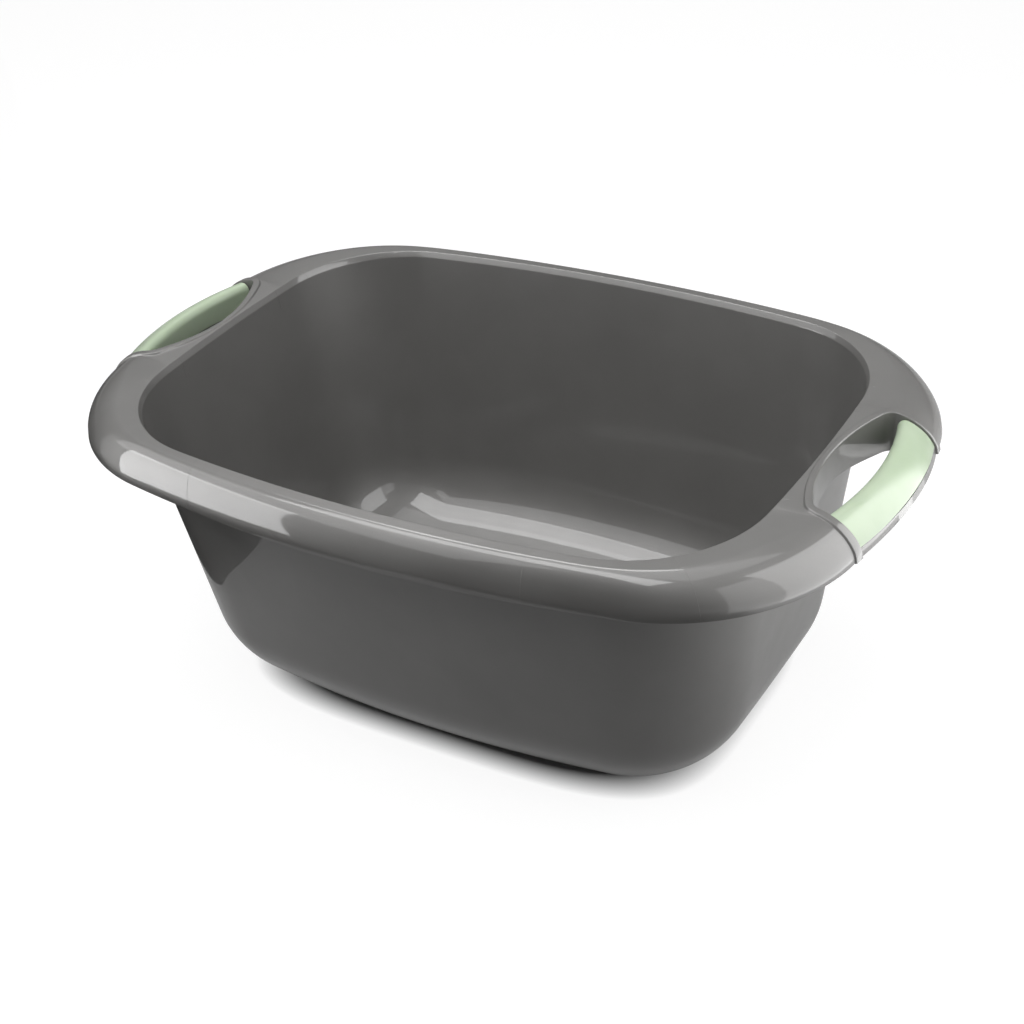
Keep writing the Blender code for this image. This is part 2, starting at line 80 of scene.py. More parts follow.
# The spans of a noise pattern that a finish stretches, for its tone and for its gloss.
CLOUDS = (0.32, 0.68)
PATCHES = (0.3, 0.7)
Colour = tuple[float, float, float]
Point = tuple[float, float, float]
Range = tuple[float, float]
Noise = tuple[float, float]
Bump = tuple[float, float, float, float]
Line = list[Vector]
Rule = Callable[[float], Range]


def mix(first: float | Vector, second: float | Vector, share: float) -> float | Vector:
    """A point or number part of the way from one to another."""
    return first * (1 - share) + second * share


def smooth(share: float) -> float:
    """Runs from 0 to 1 with level ends."""
    share = min(max(share, 0.0), 1.0)
    return share * share * (3 - 2 * share)


def filleted(corners: Sequence[Range], reaches: Sequence[float],
             steps: int) -> Line:
    """Rounds the corners of a section line.

    Args:
        corners: The line's corners in order, as distance and height.
        reaches: How far the round at each inner corner reaches along both its sides.
        steps: Number of short pieces in each round.

    Returns:
        The section's points, ends included.
    """
    points = [Vector(corner) for corner in corners]
    line = [points[0]]
    for index, reach in enumerate(reaches, start=1):
        before, corner, after = points[index - 1:index + 2]
        first = corner + (before - corner).normalized() * reach
        last = corner + (after - corner).normalized() * reach
        for step in range(steps + 1):
            share = step / steps
            line.append(mix(mix(first, corner, share), mix(corner, last, share), share))
    line.append(points[-1])
    return line


class Arc(NamedTuple):
    """One arc of an outline: its centre, radius and range of angles."""

    centre: Vector
    radius: float
    first: float
    last: float


class Way(Enum):
    """How a column of the mesh runs over the tub, seen from above."""

    END = "along the length, at one width"
    FAN = "out from the corner's centre, at one angle"
    SIDE = "along the width, at one length"


class Column(NamedTuple):
    """One column of the quarter mesh: which way it runs and its width, angle or length."""

    way: Way
    value: float


@dataclass(frozen=True)
class Outline:
    """A bowed rectangle of tangent arcs, given by the quarter in +X +Y."""

    a: float
    b: float
    corner: float
    side_bow: float
    end_bow: float

    def grown(self, offset: float) -> "Outline":
        """The same outline, moved outwards by an offset."""
        return Outline(*(size + offset for size in astuple(self)))

    def scaled(self, share: float) -> "Outline":
        """The same outline, made smaller about the middle."""
        return Outline(*(size * share for size in astuple(self)))

    @cached_property
    def arcs(self) -> tuple[Arc, Arc, Arc]:
        """The end, corner and side arcs of one quarter.

        Returns:
            The three arcs, which touch without a kink.
        """
        side = Vector((0, self.b - self.side_bow))
        end = Vector((self.a - self.end_bow, 0))
        reach_side = self.side_bow - self.corner
        reach_end = self.end_bow - self.corner
        between = end - side
        gap = between.length
        along = (reach_side ** 2 - reach_end ** 2 + gap ** 2) / (2 * gap)
        across = math.sqrt(max(reach_side ** 2 - along ** 2, 0))
        unit = between / gap
        centre = side + unit * along + Vector((unit.y, -unit.x)) * across
        turn_end = math.atan2(centre.y - end.y, centre.x - end.x)
        turn_side = math.atan2(centre.y - side.y, centre.x - side.x)
        return (Arc(end, self.end_bow, 0, turn_end), Arc(centre, self.corner, turn_end, turn_side),
                Arc(side, self.side_bow, turn_side, QUARTER))

    def crossing(self, start: Vector, direction: Vector) -> Vector:
        """Where a ray leaves the outline.

        Args:
            start: A point inside the quarter.
            direction: The ray's direction, of length 1.

        Returns:
            The point on the outline.
        """
        best = (math.inf, start)
        for arc in self.arcs:
            offset = start - arc.centre
            half = offset.dot(direction)
            inside = half ** 2 - offset.length_squared + arc.radius ** 2
            if inside < 0:
                continue
            point = start + direction * (math.sqrt(inside) - half)
            angle = math.atan2(point.y - arc.centre.y, point.x - arc.centre.x)
            miss = max(arc.first - angle, angle - arc.last, 0)
            if miss < best[0]:
                best = (miss, point)
        return best[1]

    def end_x(self, y: float) -> float:
        """How far the end reaches along X at a given y."""
        return self.crossing(Vector((0, abs(y))), Vector((1, 0))).x


@dataclass(frozen=True)
class Counts:
    """How finely each stretch of the moulding is divided."""

    hole_side: int = 20
    hole_corner: int = 10
    end: int = 6
    corner: int = 44
    side: int = 20
    foot: int = 20
    wall: int = 8
    floor: int = 5
    fillet: int = 3
    round: int = 8
    crown: int = 22
    bar: int = 24
    relax: int = 16
    edge: int = 6

    @property
    def window(self) -> int:
        """Steps from the middle of the hand hole's tub side to its end."""
        return self.hole_side + self.hole_corner


@dataclass(frozen=True)
class Rim:
    """The wide rim: a steep lip at the opening, then a crown that falls to the outer edge."""

    opening: Outline
    edge: Outline
    height: float = 0.2166
    lip_width: float = 0.0020
    lip_height: float = 0.0039
    lip_rounds: Range = (0.0005, 0.0004)
    land_edge: float = 0.0009
    side_slope: float = 0.0025
    end_slope: float = -0.0038
    drop: float = 0.0254
    crown_share: float = 0.62
    power: float = 1.77
    fan_x: float = 0.130
    fan_y: float = 0.088

    @cached_property
    def crest(self) -> Outline:
        """The outline of the lip's upper edge."""
        return self.opening.grown(self.lip_width)

    def out(self, turn: float) -> float:
        """Share of a width reached at a turn, crowded towards the outer edge."""
        return math.sin(turn) ** (2 / self.power)

    def left(self, share: float) -> float:
        """Share of the crown's height that is left at a share of its width."""
        return (1 - min(max(share, 0), 1) ** self.power) ** (1 / self.power)

    def turn_at(self, depth: float) -> float:
        """The turn at which the crown lies at a depth below its top."""
        return math.acos((1 - min(depth / self.drop, 1)) ** (self.power / 2))

    def start_x(self, y: float) -> float:
        """Where the crown begins at the tub's end."""
        outer = self.edge.end_x(y)
        return outer - self.crown_share * (outer - self.crest.end_x(y))

    def share(self, x: float, y: float) -> float:
        """How far x lies on the crown at the tub's end, 0 to 1."""
        start = self.start_x(y)
        return min(max((x - start) / (self.edge.end_x(y) - start), 0), 1)

    def fall(self, x: float, y: float) -> float:
        """How far the crown has fallen at a place near the tub's end."""
        return self.drop * (1 - self.left(self.share(x, y)))

    def on_top(self, x: float, y: float, raised: float) -> Vector:
        """A point of the rim at the tub's end.

        Args:
            x: Place along the tub.
            y: Place across the tub.
            raised: Height above the surface, or below it where negative.

        Returns:
            The point, before the rim's slope.
        """
        share = self.share(x, y)
        height = self.height - self.drop + (self.drop + raised) * self.left(share)
        return Vector((x + raised * share, y, height))

    def meet(self, outline: Outline, column: Column, share_x: float = 1,
             share_y: float = 1) -> Vector:
        """The point where a column of the mesh meets an outline.

        Args:
            outline: The outline to meet.
            column: The column.
            share_x: Makes the column's place along X smaller, for inner outlines.
            share_y: The same along Y.

        Returns:
            The point, seen from above.
        """
        if column.way is Way.END:
            return outline.crossing(Vector((0, column.value * share_y)), Vector((1, 0)))
        if column.way is Way.SIDE:
            return outline.crossing(Vector((column.value * share_x, 0)), Vector((0, 1)))
        start = Vector((self.fan_x * share_x, self.fan_y * share_y))
        aim = Vector((math.cos(column.value), math.sin(column.value)))
        return outline.crossing(start, aim)

    def slope_at(self, crest: Vector) -> float:
        """The rim's fall outwards where a ray crosses the crest: one at sides, one at ends.

        Args:
            crest: The point where the ray crosses the crest.

        Returns:
            The slope there.
        """
        end_part = (crest.x / self.crest.a) ** 2
        side_part = (crest.y / self.crest.b) ** 2
        return mix(self.side_slope, self.end_slope, end_part / (end_part + side_part))

    def sloped(self, point: Vector) -> Vector:
        """Moves a point of the rim down or up by the slope at its place.

        Args:
            point: A point of the tub.

        Returns:
            The moved point, or the same one inside the crest.
        """
        place = point.xy
        if place.length < self.crest.b:
            return point
        if place.x <= self.fan_x:
            start, aim = Vector((place.x, 0)), Vector((0, 1))
        elif place.y <= self.fan_y:
            start, aim = Vector((0, place.y)), Vector((1, 0))
        else:
            start = Vector((self.fan_x, self.fan_y))
            aim = (place - start).normalized()
        crest = self.crest.crossing(start, aim)
        inner = (crest - start).length
        outer = (self.edge.crossing(start, aim) - start).length
        share = max(((place - start).length - inner) / (outer - inner), 0)
        return point - Vector((0, 0, self.slope_at(crest) * share))


@dataclass(frozen=True)
class HandHole:
    """A half-moon hole with a raised collar, seen as the tub's side and its slanted end."""

    rim: Rim
    counts: Counts
    web: float = 0.0077
    half_length: float = 0.0600
    end_width: float = 0.0053
    lip_round: float = 0.0018
    skirt_depth: float = 0.0210
    step_depth: float = 0.0040
    bar_width: float = 0.0202
    bar_bow: float = 0.0090
    grip_edge: float = 0.0210
    slant: float = 0.09
    collar_width: float = 0.0060
    collar_flare: float = 0.0020
    collar_height: float = 0.0014
    collar_low: float = 0.0005
    collar_flank: float = 0.0007
    collar_round: float = 0.0006
    foot_share: float = 0.6
    foot_reach: float = 0.8
    flank_reach: float = 0.6
    hang: float = 1.6
    clearance: float = 0.0010

    @cached_property
    def x(self) -> float:
        """X of the tub's side of the hole, in its middle."""
        return self.rim.opening.a + self.web

    @cached_property
    def bar_x(self) -> float:
        """X of the bar's inner side, in its middle."""
        return self.rim.edge.a - self.bar_width

    @cached_property
    def bar_radius(self) -> float:
        """Radius of the arc along the bar's inner side."""
        return (self.half_length ** 2 + self.bar_bow ** 2) / (2 * self.bar_bow)

    @cached_property
    def radius(self) -> float:
        """Radius of the arc along the tub's side of the hole."""
        bow = self.corner_x - self.x - self.end_width
        return (self.half_length ** 2 + bow ** 2) / (2 * bow)

    @cached_property
    def corner_x(self) -> float:
        """X at which the bar's inner side reaches the hole's end."""
        return self.bar_x - self.bar_bow

    @cached_property
    def centre(self) -> Vector:
        """Centre of the arc along the tub's side."""
        return Vector((self.x + self.radius, 0))

    @cached_property
    def corner(self) -> float:
        """Radius of the hole's corner."""
        return ((self.radius ** 2 - (self.centre.x - self.corner_x) ** 2 - self.half_length ** 2)
                / (2 * (self.radius - self.half_length)))

    @cached_property
    def turns(self) -> list[float]:
        """Turns of the crown at which the collar and the bar have a line of points.

        Returns:
            The turns in order, with a quarter turn as the last.
        """
        last = self.rim.turn_at(self.grip_edge)
        steps = self.counts.round + self.counts.crown
        return [last * step / steps for step in range(steps + 1)] + [QUARTER]

    @property
    def steps(self) -> int:
        """Steps along the collar, from the hole's middle to the rim's outer edge."""
        return self.counts.window + len(self.turns) - 1

    def inner_x(self, y: float) -> float:
        """The bar's inner side, a long arc that bulges away from the tub."""
        return self.bar_x - self.bar_radius + math.sqrt(self.bar_radius ** 2 - y ** 2)

    def end_y(self, x: float, offset: float) -> float:
        """The slanted line at which the bar ends, moved along Y by an offset."""
        return self.half_length + offset + self.slant * (x - self.corner_x)

    def rim_line(self, step: int) -> tuple[Vector, Vector]:
        """Point on the hole's tub side and its direction away from the hole.

        Args:
            step: Step round the hole, from its middle to its end.

        Returns:
            The point and the direction.
        """
        middle = Vector((self.corner_x, self.half_length - self.corner))
        turn = math.atan2(middle.y, self.centre.x - middle.x)
        if step <= self.counts.hole_side:
            angle = turn * step / self.counts.hole_side
            outward = Vector((-math.cos(angle), math.sin(angle)))
            return self.centre + outward * self.radius, outward
        angle = mix(turn, QUARTER, (step - self.counts.hole_side) / self.counts.hole_corner)
        outward = Vector((-math.cos(angle), math.sin(angle)))
        return middle + outward * self.corner, outward

    def share(self, step: int) -> float:
        """How far a step lies from the hole's middle towards its end, 0 to 1."""
        return smooth(self.rim_line(step)[0].y / self.half_length)

    def turn_share(self, step: int) -> float:
        """How far down the crown a step of the collar lies, 0 to 1."""
        down = step - self.counts.window
        return self.turns[down] / QUARTER if down > 0 else 0

    def width(self, step: int) -> float:
        """Width of the collar at a step: narrow by the tub, widening over the crown.

        Args:
            step: Step along the collar.

        Returns:
            The width.
        """
        if step > self.counts.window:
            return self.collar_width + self.collar_flare * self.turn_share(step)
        narrow = self.web - self.rim.lip_width - self.clearance
        return mix(narrow, self.collar_width, self.rim_line(step)[0].y / self.half_length)

    def section(self, step: int) -> Line:
        """Distances from the hole and heights above the rim, from foot to hole wall.

        Args:
            step: Step along the collar.

        Returns:
            The collar's section.
        """
        share = 1 if step > self.counts.window else self.share(step)
        width = self.width(step)
        height = mix(self.collar_low, self.collar_height, share)
        edge = mix(self.lip_round, self.collar_round, share)
        foot = self.collar_flank * self.foot_share
        top = width - foot - self.collar_flank
        corners = [(width, 0), (width - foot, 0), (top, height), (0, height),
                   (0, height - self.hang * edge)]
        reaches = (foot * self.foot_reach, self.collar_flank * self.flank_reach, edge)
        return filleted(corners, reaches, self.counts.fillet)

    def back_section(self, step: int) -> Line:
        """The underside has no collar: it runs flat to the back of the hole's wall."""
        wall = TubMoulding.wall
        return [Vector((self.width(step), -wall)), Vector((wall, -wall))]

    def sunk_corner_x(self, sunk: float) -> float:
        """Where the bar's inner side, sunk into the bar, meets its end line.

        Args:
            sunk: Depth of the skin below the visible one.

        Returns:
            X of that corner.
        """
        x = self.corner_x
        for _ in range(SETTLING):
            x = self.inner_x(min(self.end_y(x, sunk), self.half_length + sunk)) + sunk
        return x

    def node(self, step: int, distance: float, raised: float, sunk: float) -> Vector:
        """A point of the collar: round the hole's tub side, then across the bar's end.

        Args:
            step: Step along the collar.
            distance: Distance from the hole's edge.
            raised: Height above the rim.
            sunk: Depth of the skin below the visible one.

        Returns:
            The point, before the rim's slope.
        """
        if step < self.counts.window:
            edge, outward = self.rim_line(step)
            place = edge + outward * distance
            return self.rim.on_top(place.x, place.y, raised)
        out = self.rim.out(self.turns[step - self.counts.window])
        near = self.sunk_corner_x(sunk)
        y = self.half_length + distance
        for _ in range(SETTLING):
            x = mix(near, self.rim.edge.end_x(y), out)
            y = self.end_y(x, distance)
        return self.rim.on_top(x, y, raised)

    def grid(self, sunk: float) -> list[Line]:
        """The collar, one row for each step round the hole and across the bar's end.

        Args:
            sunk: Depth of the skin below the visible one.

        Returns:
            The rows.
        """
        rows = []
        for step in range(self.steps + 1):
            section = self.back_section(step) if sunk else self.section(step)
            rows.append([self.node(step, point.x, point.y, sunk) for point in section])
        return rows

    def wall_grid(self, collar: list[Line], sunk: float, inner: float, low: float) -> list[Line]:
        """The wall that hangs in the hole.

        Args:
            collar: The collar's rows, whose last points the wall hangs from.
            sunk: Depth of the skin below the visible one.
            inner: Depth of the grip's edge on the bar.
            low: Depth of the bar's lower edge.

        Returns:
            The wall's rows, one for each step round the hole's tub side.
        """
        rows = []
        for step in range(self.counts.window + 1):
            below = self.node(step, sunk, 0, sunk)
            share = self.share(step)
            middle = self.rim.height - mix(self.step_depth, inner, share)
            foot = self.rim.height - mix(self.skirt_depth, low, share)
            rows.append([collar[step][-1], Vector((below.x, below.y, middle)),
                         Vector((below.x, below.y, foot))])
        return rows


@dataclass(frozen=True)
class CarryBar:
    """The bar outside a hand hole, recessed where the grip lies over it."""

    rim: Rim
    hole: HandHole
    counts: Counts
    round: float = 0.0080
    depth: float = 0.0262
    bulge: float = 0.0042
    rise: float = 0.0024
    grip_wall: float = 0.0018
    grip_gap: float = 0.0003
    end_gap: float = 0.0006
    inner_depth: float = 0.0235
    outer_depth: float = 0.0207
    below_grip: int = 3
    near: float = 0.001

    def profile(self, y: float, place: float) -> Range:
        """The bar's outer form: place 0 to 1 is the round, 1 to 2 the crown.

        Args:
            y: Place across the tub.
            place: Place round the section.

        Returns:
            X and height.
        """
        inner = self.hole.inner_x(min(y, self.hole.half_length + TubMoulding.wall))
        if place <= 1:
            turn = QUARTER * place
            x = inner + self.round * (1 - math.cos(turn))
            return x, self.rim.height - self.round * (1 - math.sin(turn)) - self.rim.fall(x, y)
        first = self.first_turn(inner + self.round, y)
        out = self.rim.out(mix(first, QUARTER, place - 1))
        x = mix(self.rim.start_x(y), self.rim.edge.end_x(y), out)
        return x, self.rim.height - self.rim.fall(x, y)

    def first_turn(self, x: float, y: float) -> float:
        """The crown's turn at the place where the bar's round ends."""
        return math.asin(self.rim.share(x, y) ** (self.rim.power / 2))

    def point(self, y: float, place: float, depth: float) -> Range:
        """A point below the bar's outer form, square to it.

        Args:
            y: Place across the tub.
            place: Place round the section.
            depth: How deep it lies.

        Returns:
            X and height.
        """
        if place <= 0:
            x, z = self.profile(y, 0)
            return x + depth, z
        if place >= 2:
            x, z = self.profile(y, 2)
            return x - depth, z
        x0, z0 = self.profile(y, place - self.near)
        x1, z1 = self.profile(y, place + self.near)
        x, z = self.profile(y, place)
        length = math.hypot(x1 - x0, z1 - z0)
        return x + depth * (z1 - z0) / length, z - depth * (x1 - x0) / length

    def outer_place(self, depth: float) -> float:
        """The place on the crown that lies at a depth below the rim's top."""
        first = self.first_turn(self.hole.bar_x + self.round, 0)
        return 1 + (self.rim.turn_at(depth) - first) / (QUARTER - first)

    def node(self, share: float, offset: float, rule: Rule) -> Vector:
        """Puts a section point at a share of the half length, on the swollen bar.

        Args:
            share: Share of the half length.
            offset: How far the end line is moved along Y.
            rule: Gives the section point at a y.

        Returns:
            The point, before the rim's slope.
        """
        y = share * self.hole.half_length
        for _ in range(SETTLING):
            x, z = rule(y)
            y = share * self.hole.end_y(x, offset)
        swell = 1 - share ** 2
        inner = self.hole.inner_x(y)
        outward = min(max((x - inner) / (self.rim.edge.end_x(y) - inner), 0), 1)
        return Vector((x + self.bulge * swell * outward, y, z + self.rise * swell))

    def rules(self, sunk: float) -> list[Rule]:
        """The section's points, from the bar's lower inner edge to its outer edge.

        Args:
            sunk: Depth of the skin below the visible one.

        Returns:
            A rule for each point, which gives its x and height at a y.
        """
        height = self.rim.height
        inner = self.inner_depth + self.grip_gap + sunk
        outer = self.outer_depth + self.grip_gap + sunk
        deep = self.grip_wall + self.grip_gap + sunk
        last = self.outer_place(outer)
        round_steps, crown_steps = self.counts.round, self.counts.crown
        places = [step / round_steps for step in range(round_steps + 1)]
        places += [mix(1, last, step / crown_steps) for step in range(1, crown_steps + 1)]
        return [lambda y: (self.point(y, 0, sunk)[0], height - self.depth),
                lambda y: (self.point(y, 0, sunk)[0], height - inner),
                lambda y: (self.point(y, 0, deep)[0], height - inner),
                *(lambda y, place=place: self.point(y, place, deep) for place in places),
                lambda y: self.point(y, last, sunk), lambda y: self.point(y, 2, sunk)]

    def grid(self, sunk: float) -> list[Line]:
        """The bar's skin, one row for each plane from its middle to its end.

        Args:
            sunk: How far the skin lies behind the visible one.

        Returns:
            The rows of points.
        """
        rules = self.rules(sunk)
        return [[self.node(step / self.counts.bar, sunk, rule) for rule in rules]
                for step in range(self.counts.bar + 1)]


@dataclass(frozen=True)
class Basin:
    """The bowl inside the rim: floor, rounded foot, slanted walls, and the rim's skin."""

    rim: Rim
    hole: HandHole
    counts: Counts
    foot: Outline
    wall: float
    foot_round: float = 0.0650
    draft: float = math.radians(8.4)
    guide_share: float = 0.3
    wall_end: float = 0.0014
    seam_gap: float = 0.04

    @cached_property
    def columns(self) -> list[Column]:
        """Columns from the middle of the tub's end to the middle of its long side.

        Returns:
            The columns.
        """
        hole, counts, rim = self.hole, self.counts, self.rim
        edges = [hole.node(step, hole.width(step), 0, 0).xy for step in range(counts.window + 1)]
        reach = hole.half_length + hole.collar_width + hole.collar_flare
        lengths = [0.0]
        for first, second in zip(edges, edges[1:]):
            lengths.append(lengths[-1] + (second - first).length)
        made = [Column(Way.END, reach * length / lengths[-1]) for length in lengths]
        for step in range(1, counts.end + 1):
            made.append(Column(Way.END, mix(reach, rim.fan_y, step / counts.end)))
        for step in range(1, counts.corner):
            made.append(Column(Way.FAN, QUARTER * step / counts.corner))
        for step in range(counts.side + 1):
            made.append(Column(Way.SIDE, rim.fan_x * (1 - step / counts.side)))
        return made

    def ring(self, outline: Outline, z: float, share_x: float = 1, share_y: float = 1) -> Line:
        """One line round the quarter at a height, over all columns."""
        return [self.rim.meet(outline, column, share_x, share_y).to_3d() + Vector((0, 0, z))
                for column in self.columns]

    def floor_rings(self, sunk: float) -> list[Line]:
        """The flat floor, inside the rounded foot.

        Args:
            sunk: Depth of the skin below the visible one.

        Returns:
            Its rings, outwards.
        """
        floor = self.foot.grown(-self.foot_round * math.cos(self.draft))
        share_x = floor.a / self.foot.a
        share_y = floor.b / self.foot.b
        shares = [step / (self.counts.floor + 1) for step in range(1, self.counts.floor + 1)]
        return [self.ring(floor.scaled(share), self.wall - sunk, share_x * share, share_y * share)
                for share in shares]

    def foot_rings(self, sunk: float) -> list[Line]:
        """The rounded foot, from the floor up to where it touches the slanted wall.

        Args:
            sunk: Depth of the skin below the visible one.

        Returns:
            Its rings, upwards.
        """
        rings = []
        for step in range(self.counts.foot + 1):
            turn = mix(QUARTER, self.draft, step / self.counts.foot)
            inward = self.foot_round * (math.cos(turn) - math.cos(self.draft))
            middle = self.foot.grown(inward)
            z = self.wall + self.foot_round * (1 - math.sin(turn)) - sunk * math.sin(turn)
            rings.append(self.ring(middle.grown(sunk * math.cos(turn)), z,
                                   middle.a / self.foot.a, middle.b / self.foot.b))
        return rings

    def lip_section(self) -> Line:
        """The steep band round the opening, from the wall's end over the rounded crest.

        Returns:
            The section's points, as distance from the opening's edge and height.
        """
        rim = self.rim
        corners = [(-self.wall_end * math.tan(self.draft), -rim.lip_height - self.wall_end),
                   (0, -rim.lip_height), (rim.lip_width, 0), (rim.lip_width + rim.land_edge, 0)]
        return filleted(corners, rim.lip_rounds, self.counts.fillet)

    def lip_rings(self, sunk: float) -> list[Line]:
        """The steep band round the opening, or its plain back.

        Args:
            sunk: Depth of the skin below the visible one.

        Returns:
            Its rings, outwards.
        """
        rim = self.rim
        section = self.lip_section()
        if sunk:
            section = [Vector((sunk, -rim.lip_height)), Vector((rim.lip_width, -sunk))]
        return [self.ring(rim.opening.grown(point.x), rim.height + point.y)
                for point in section]

    def wall_rings(self, below: Line, above: Line) -> list[Line]:
        """Straight lines up the wall, between the foot and the lip."""
        return [[mix(low, high, step / self.counts.wall) for low, high in zip(below, above)]
                for step in range(1, self.counts.wall)]

    def rim_node(self, index: int, turn: float, sunk: float) -> Vector:
        """A point of the rim on a column, from beside the hand hole to the outer edge.

        Args:
            index: The column's number.
            turn: Turn from the line beside the hole to the outer edge.
            sunk: Depth of the skin below the visible one.

        Returns:
            The point, before the rim's slope.
        """
        rim, hole, counts = self.rim, self.hole, self.counts
        corner = hole.node(counts.window, hole.width(counts.window), -sunk, sunk)
        crest = rim.crest.end_x(corner.y)
        tight = (corner.x - crest) / (rim.edge.end_x(corner.y) - crest)
        start = mix(tight, self.guide_share, smooth((index - counts.window) / counts.relax))
        return self.rim_place(self.columns[index], mix(start, 1, rim.out(turn)), sunk)

    def rim_place(self, column: Column, share: float, sunk: float = 0) -> Vector:
        """A point of the rim on a column, away from the hand holes.

        Args:
            column: The column.
            share: Share of the way from the lip's crest to the rim's outer edge.
            sunk: Depth of the skin below the visible one.

        Returns:
            The point, before the rim's slope.
        """
        rim = self.rim
        inner = rim.meet(rim.crest, column)
        outer = rim.meet(rim.edge, column)
        on_crown = max((share - 1 + rim.crown_share) / rim.crown_share, 0)
        place = mix(inner, outer, share) - (outer - inner).normalized() * sunk * on_crown
        z = rim.height - rim.drop + (rim.drop - sunk) * rim.left(on_crown)
        return place.to_3d() + Vector((0, 0, z))

    def seam(self, column: Column, down: float, share: float) -> Line:
        """A line up the wall, over the lip and across the rim, on one column.

        Args:
            column: The column it follows.
            down: Length of its stretch on the wall, below the lip.
            share: Share of the rim's width at which it ends.

        Returns:
            The line's points, in the quarter in +X +Y.
        """
        rim = self.rim
        line = [rim.meet(rim.opening.grown(point.x), column).to_3d()
                + Vector((0, 0, rim.height + point.y)) for point in self.lip_section()]
        lean = rim.meet(rim.opening.grown(-down * math.tan(self.draft)), column)
        if down:
            line.insert(0, lean.to_3d() + Vector((0, 0, rim.height - rim.lip_height - down)))
        steps = self.counts.crown
        reached = [share * rim.out(QUARTER * step / steps) for step in range(1, steps + 1)]
        line += [self.rim_place(column, part) for part in reached if part > self.seam_gap]
        return [rim.sloped(point) for point in line]

    def guide_ring(self, sunk: float) -> Line:
        """The line that passes the hand hole on the tub's side of its collar.

        Args:
            sunk: Depth of the skin below the visible one.

        Returns:
            The line, over all columns.
        """
        window = self.counts.window
        beside = [self.hole.node(step, self.hole.width(step), -sunk, sunk)
                  for step in range(window + 1)]
        return beside + [self.rim_node(index, 0, sunk)
                         for index in range(window + 1, len(self.columns))]

    def bowl_grid(self, sunk: float) -> list[Line]:
        """Floor, foot, wall, lip and the inner part of the rim.

        Args:
            sunk: Depth of the skin below the visible one.

        Returns:
            Their rings, outwards.
        """
        foot = self.foot_rings(sunk)
        lip = self.lip_rings(sunk)
        return (self.floor_rings(sunk) + foot + self.wall_rings(foot[-1], lip[0]) + lip
                + [self.guide_ring(sunk)])

    def rim_grid(self, sunk: float) -> list[Line]:
        """The outer part of the rim, beside the hand hole and round the corner.

        Args:
            sunk: Depth of the skin below the visible one.

        Returns:
            A row for the collar's foot and one for each column after it.
        """
        hole, window = self.hole, self.counts.window
        made = [[hole.node(step, hole.width(step), -sunk, sunk)
                 for step in range(window, hole.steps + 1)]]
        for index in range(window + 1, len(self.columns)):
            made.append([self.rim_node(index, turn, sunk) for turn in hole.turns])
        return made


class Sheets:
    """A mesh in the making, laid out as rows of points."""

    def __init__(self) -> None:
        """Starts empty."""
        self.bm = bmesh.new()

    def add_face(self, points: Line) -> None:
        """Adds one face, leaving out points that lie on each other.

        Args:
            points: The face's corners, in order.
        """
        kept: Line = []
        for point in points:
            if not kept or (point - kept[-1]).length > MERGE:
                kept.append(point)
        if len(kept) > 1 and (kept[0] - kept[-1]).length <= MERGE:
            kept.pop()
        if len(kept) > 2:
            self.bm.faces.new([self.bm.verts.new(point) for point in kept])

    def add_grid(self, rows: Sequence[Line]) -> None:
        """Adds a sheet of four-sided faces between rows of points.

        Args:
            rows: Rows of points, equally long.
        """
        for first, second in zip(rows, rows[1:]):
            for index in range(len(first) - 1):
                self.add_face([first[index], first[index + 1],
                               second[index + 1], second[index]])

    def add_edge(self, first: Line, second: Line, steps: int, drop: float) -> None:
        """Joins two skins with a rounded edge along a line where they end.

        Args:
            first: The visible skin's line.
            second: The back's line.
            steps: Number of faces across the edge.
            drop: How far its middle hangs below the lines.
        """
        rows = []
        for step in range(steps + 1):
            turn = math.pi * step / steps
            low = Vector((0, 0, -drop * math.sin(turn)))
            rows.append([mix(front, back, (1 - math.cos(turn)) / 2) + low
                         for front, back in zip(first, second)])
        self.add_grid(rows)

    def finished(self, name: str) -> bpy.types.Mesh:
        """Turns the faces outwards and makes the mesh.

        Args:
            name: The mesh's name.

        Returns:
            The mesh.
        """
        bmesh.ops.recalc_face_normals(self.bm, faces=self.bm.faces)
        lowest = min(self.bm.faces, key=lambda face: face.calc_center_median().z)
        if lowest.normal.z > 0:
            bmesh.ops.reverse_faces(self.bm, faces=self.bm.faces)
        mesh = bpy.data.meshes.new(name)
        self.bm.to_mesh(mesh)
        self.bm.free()
        return mesh


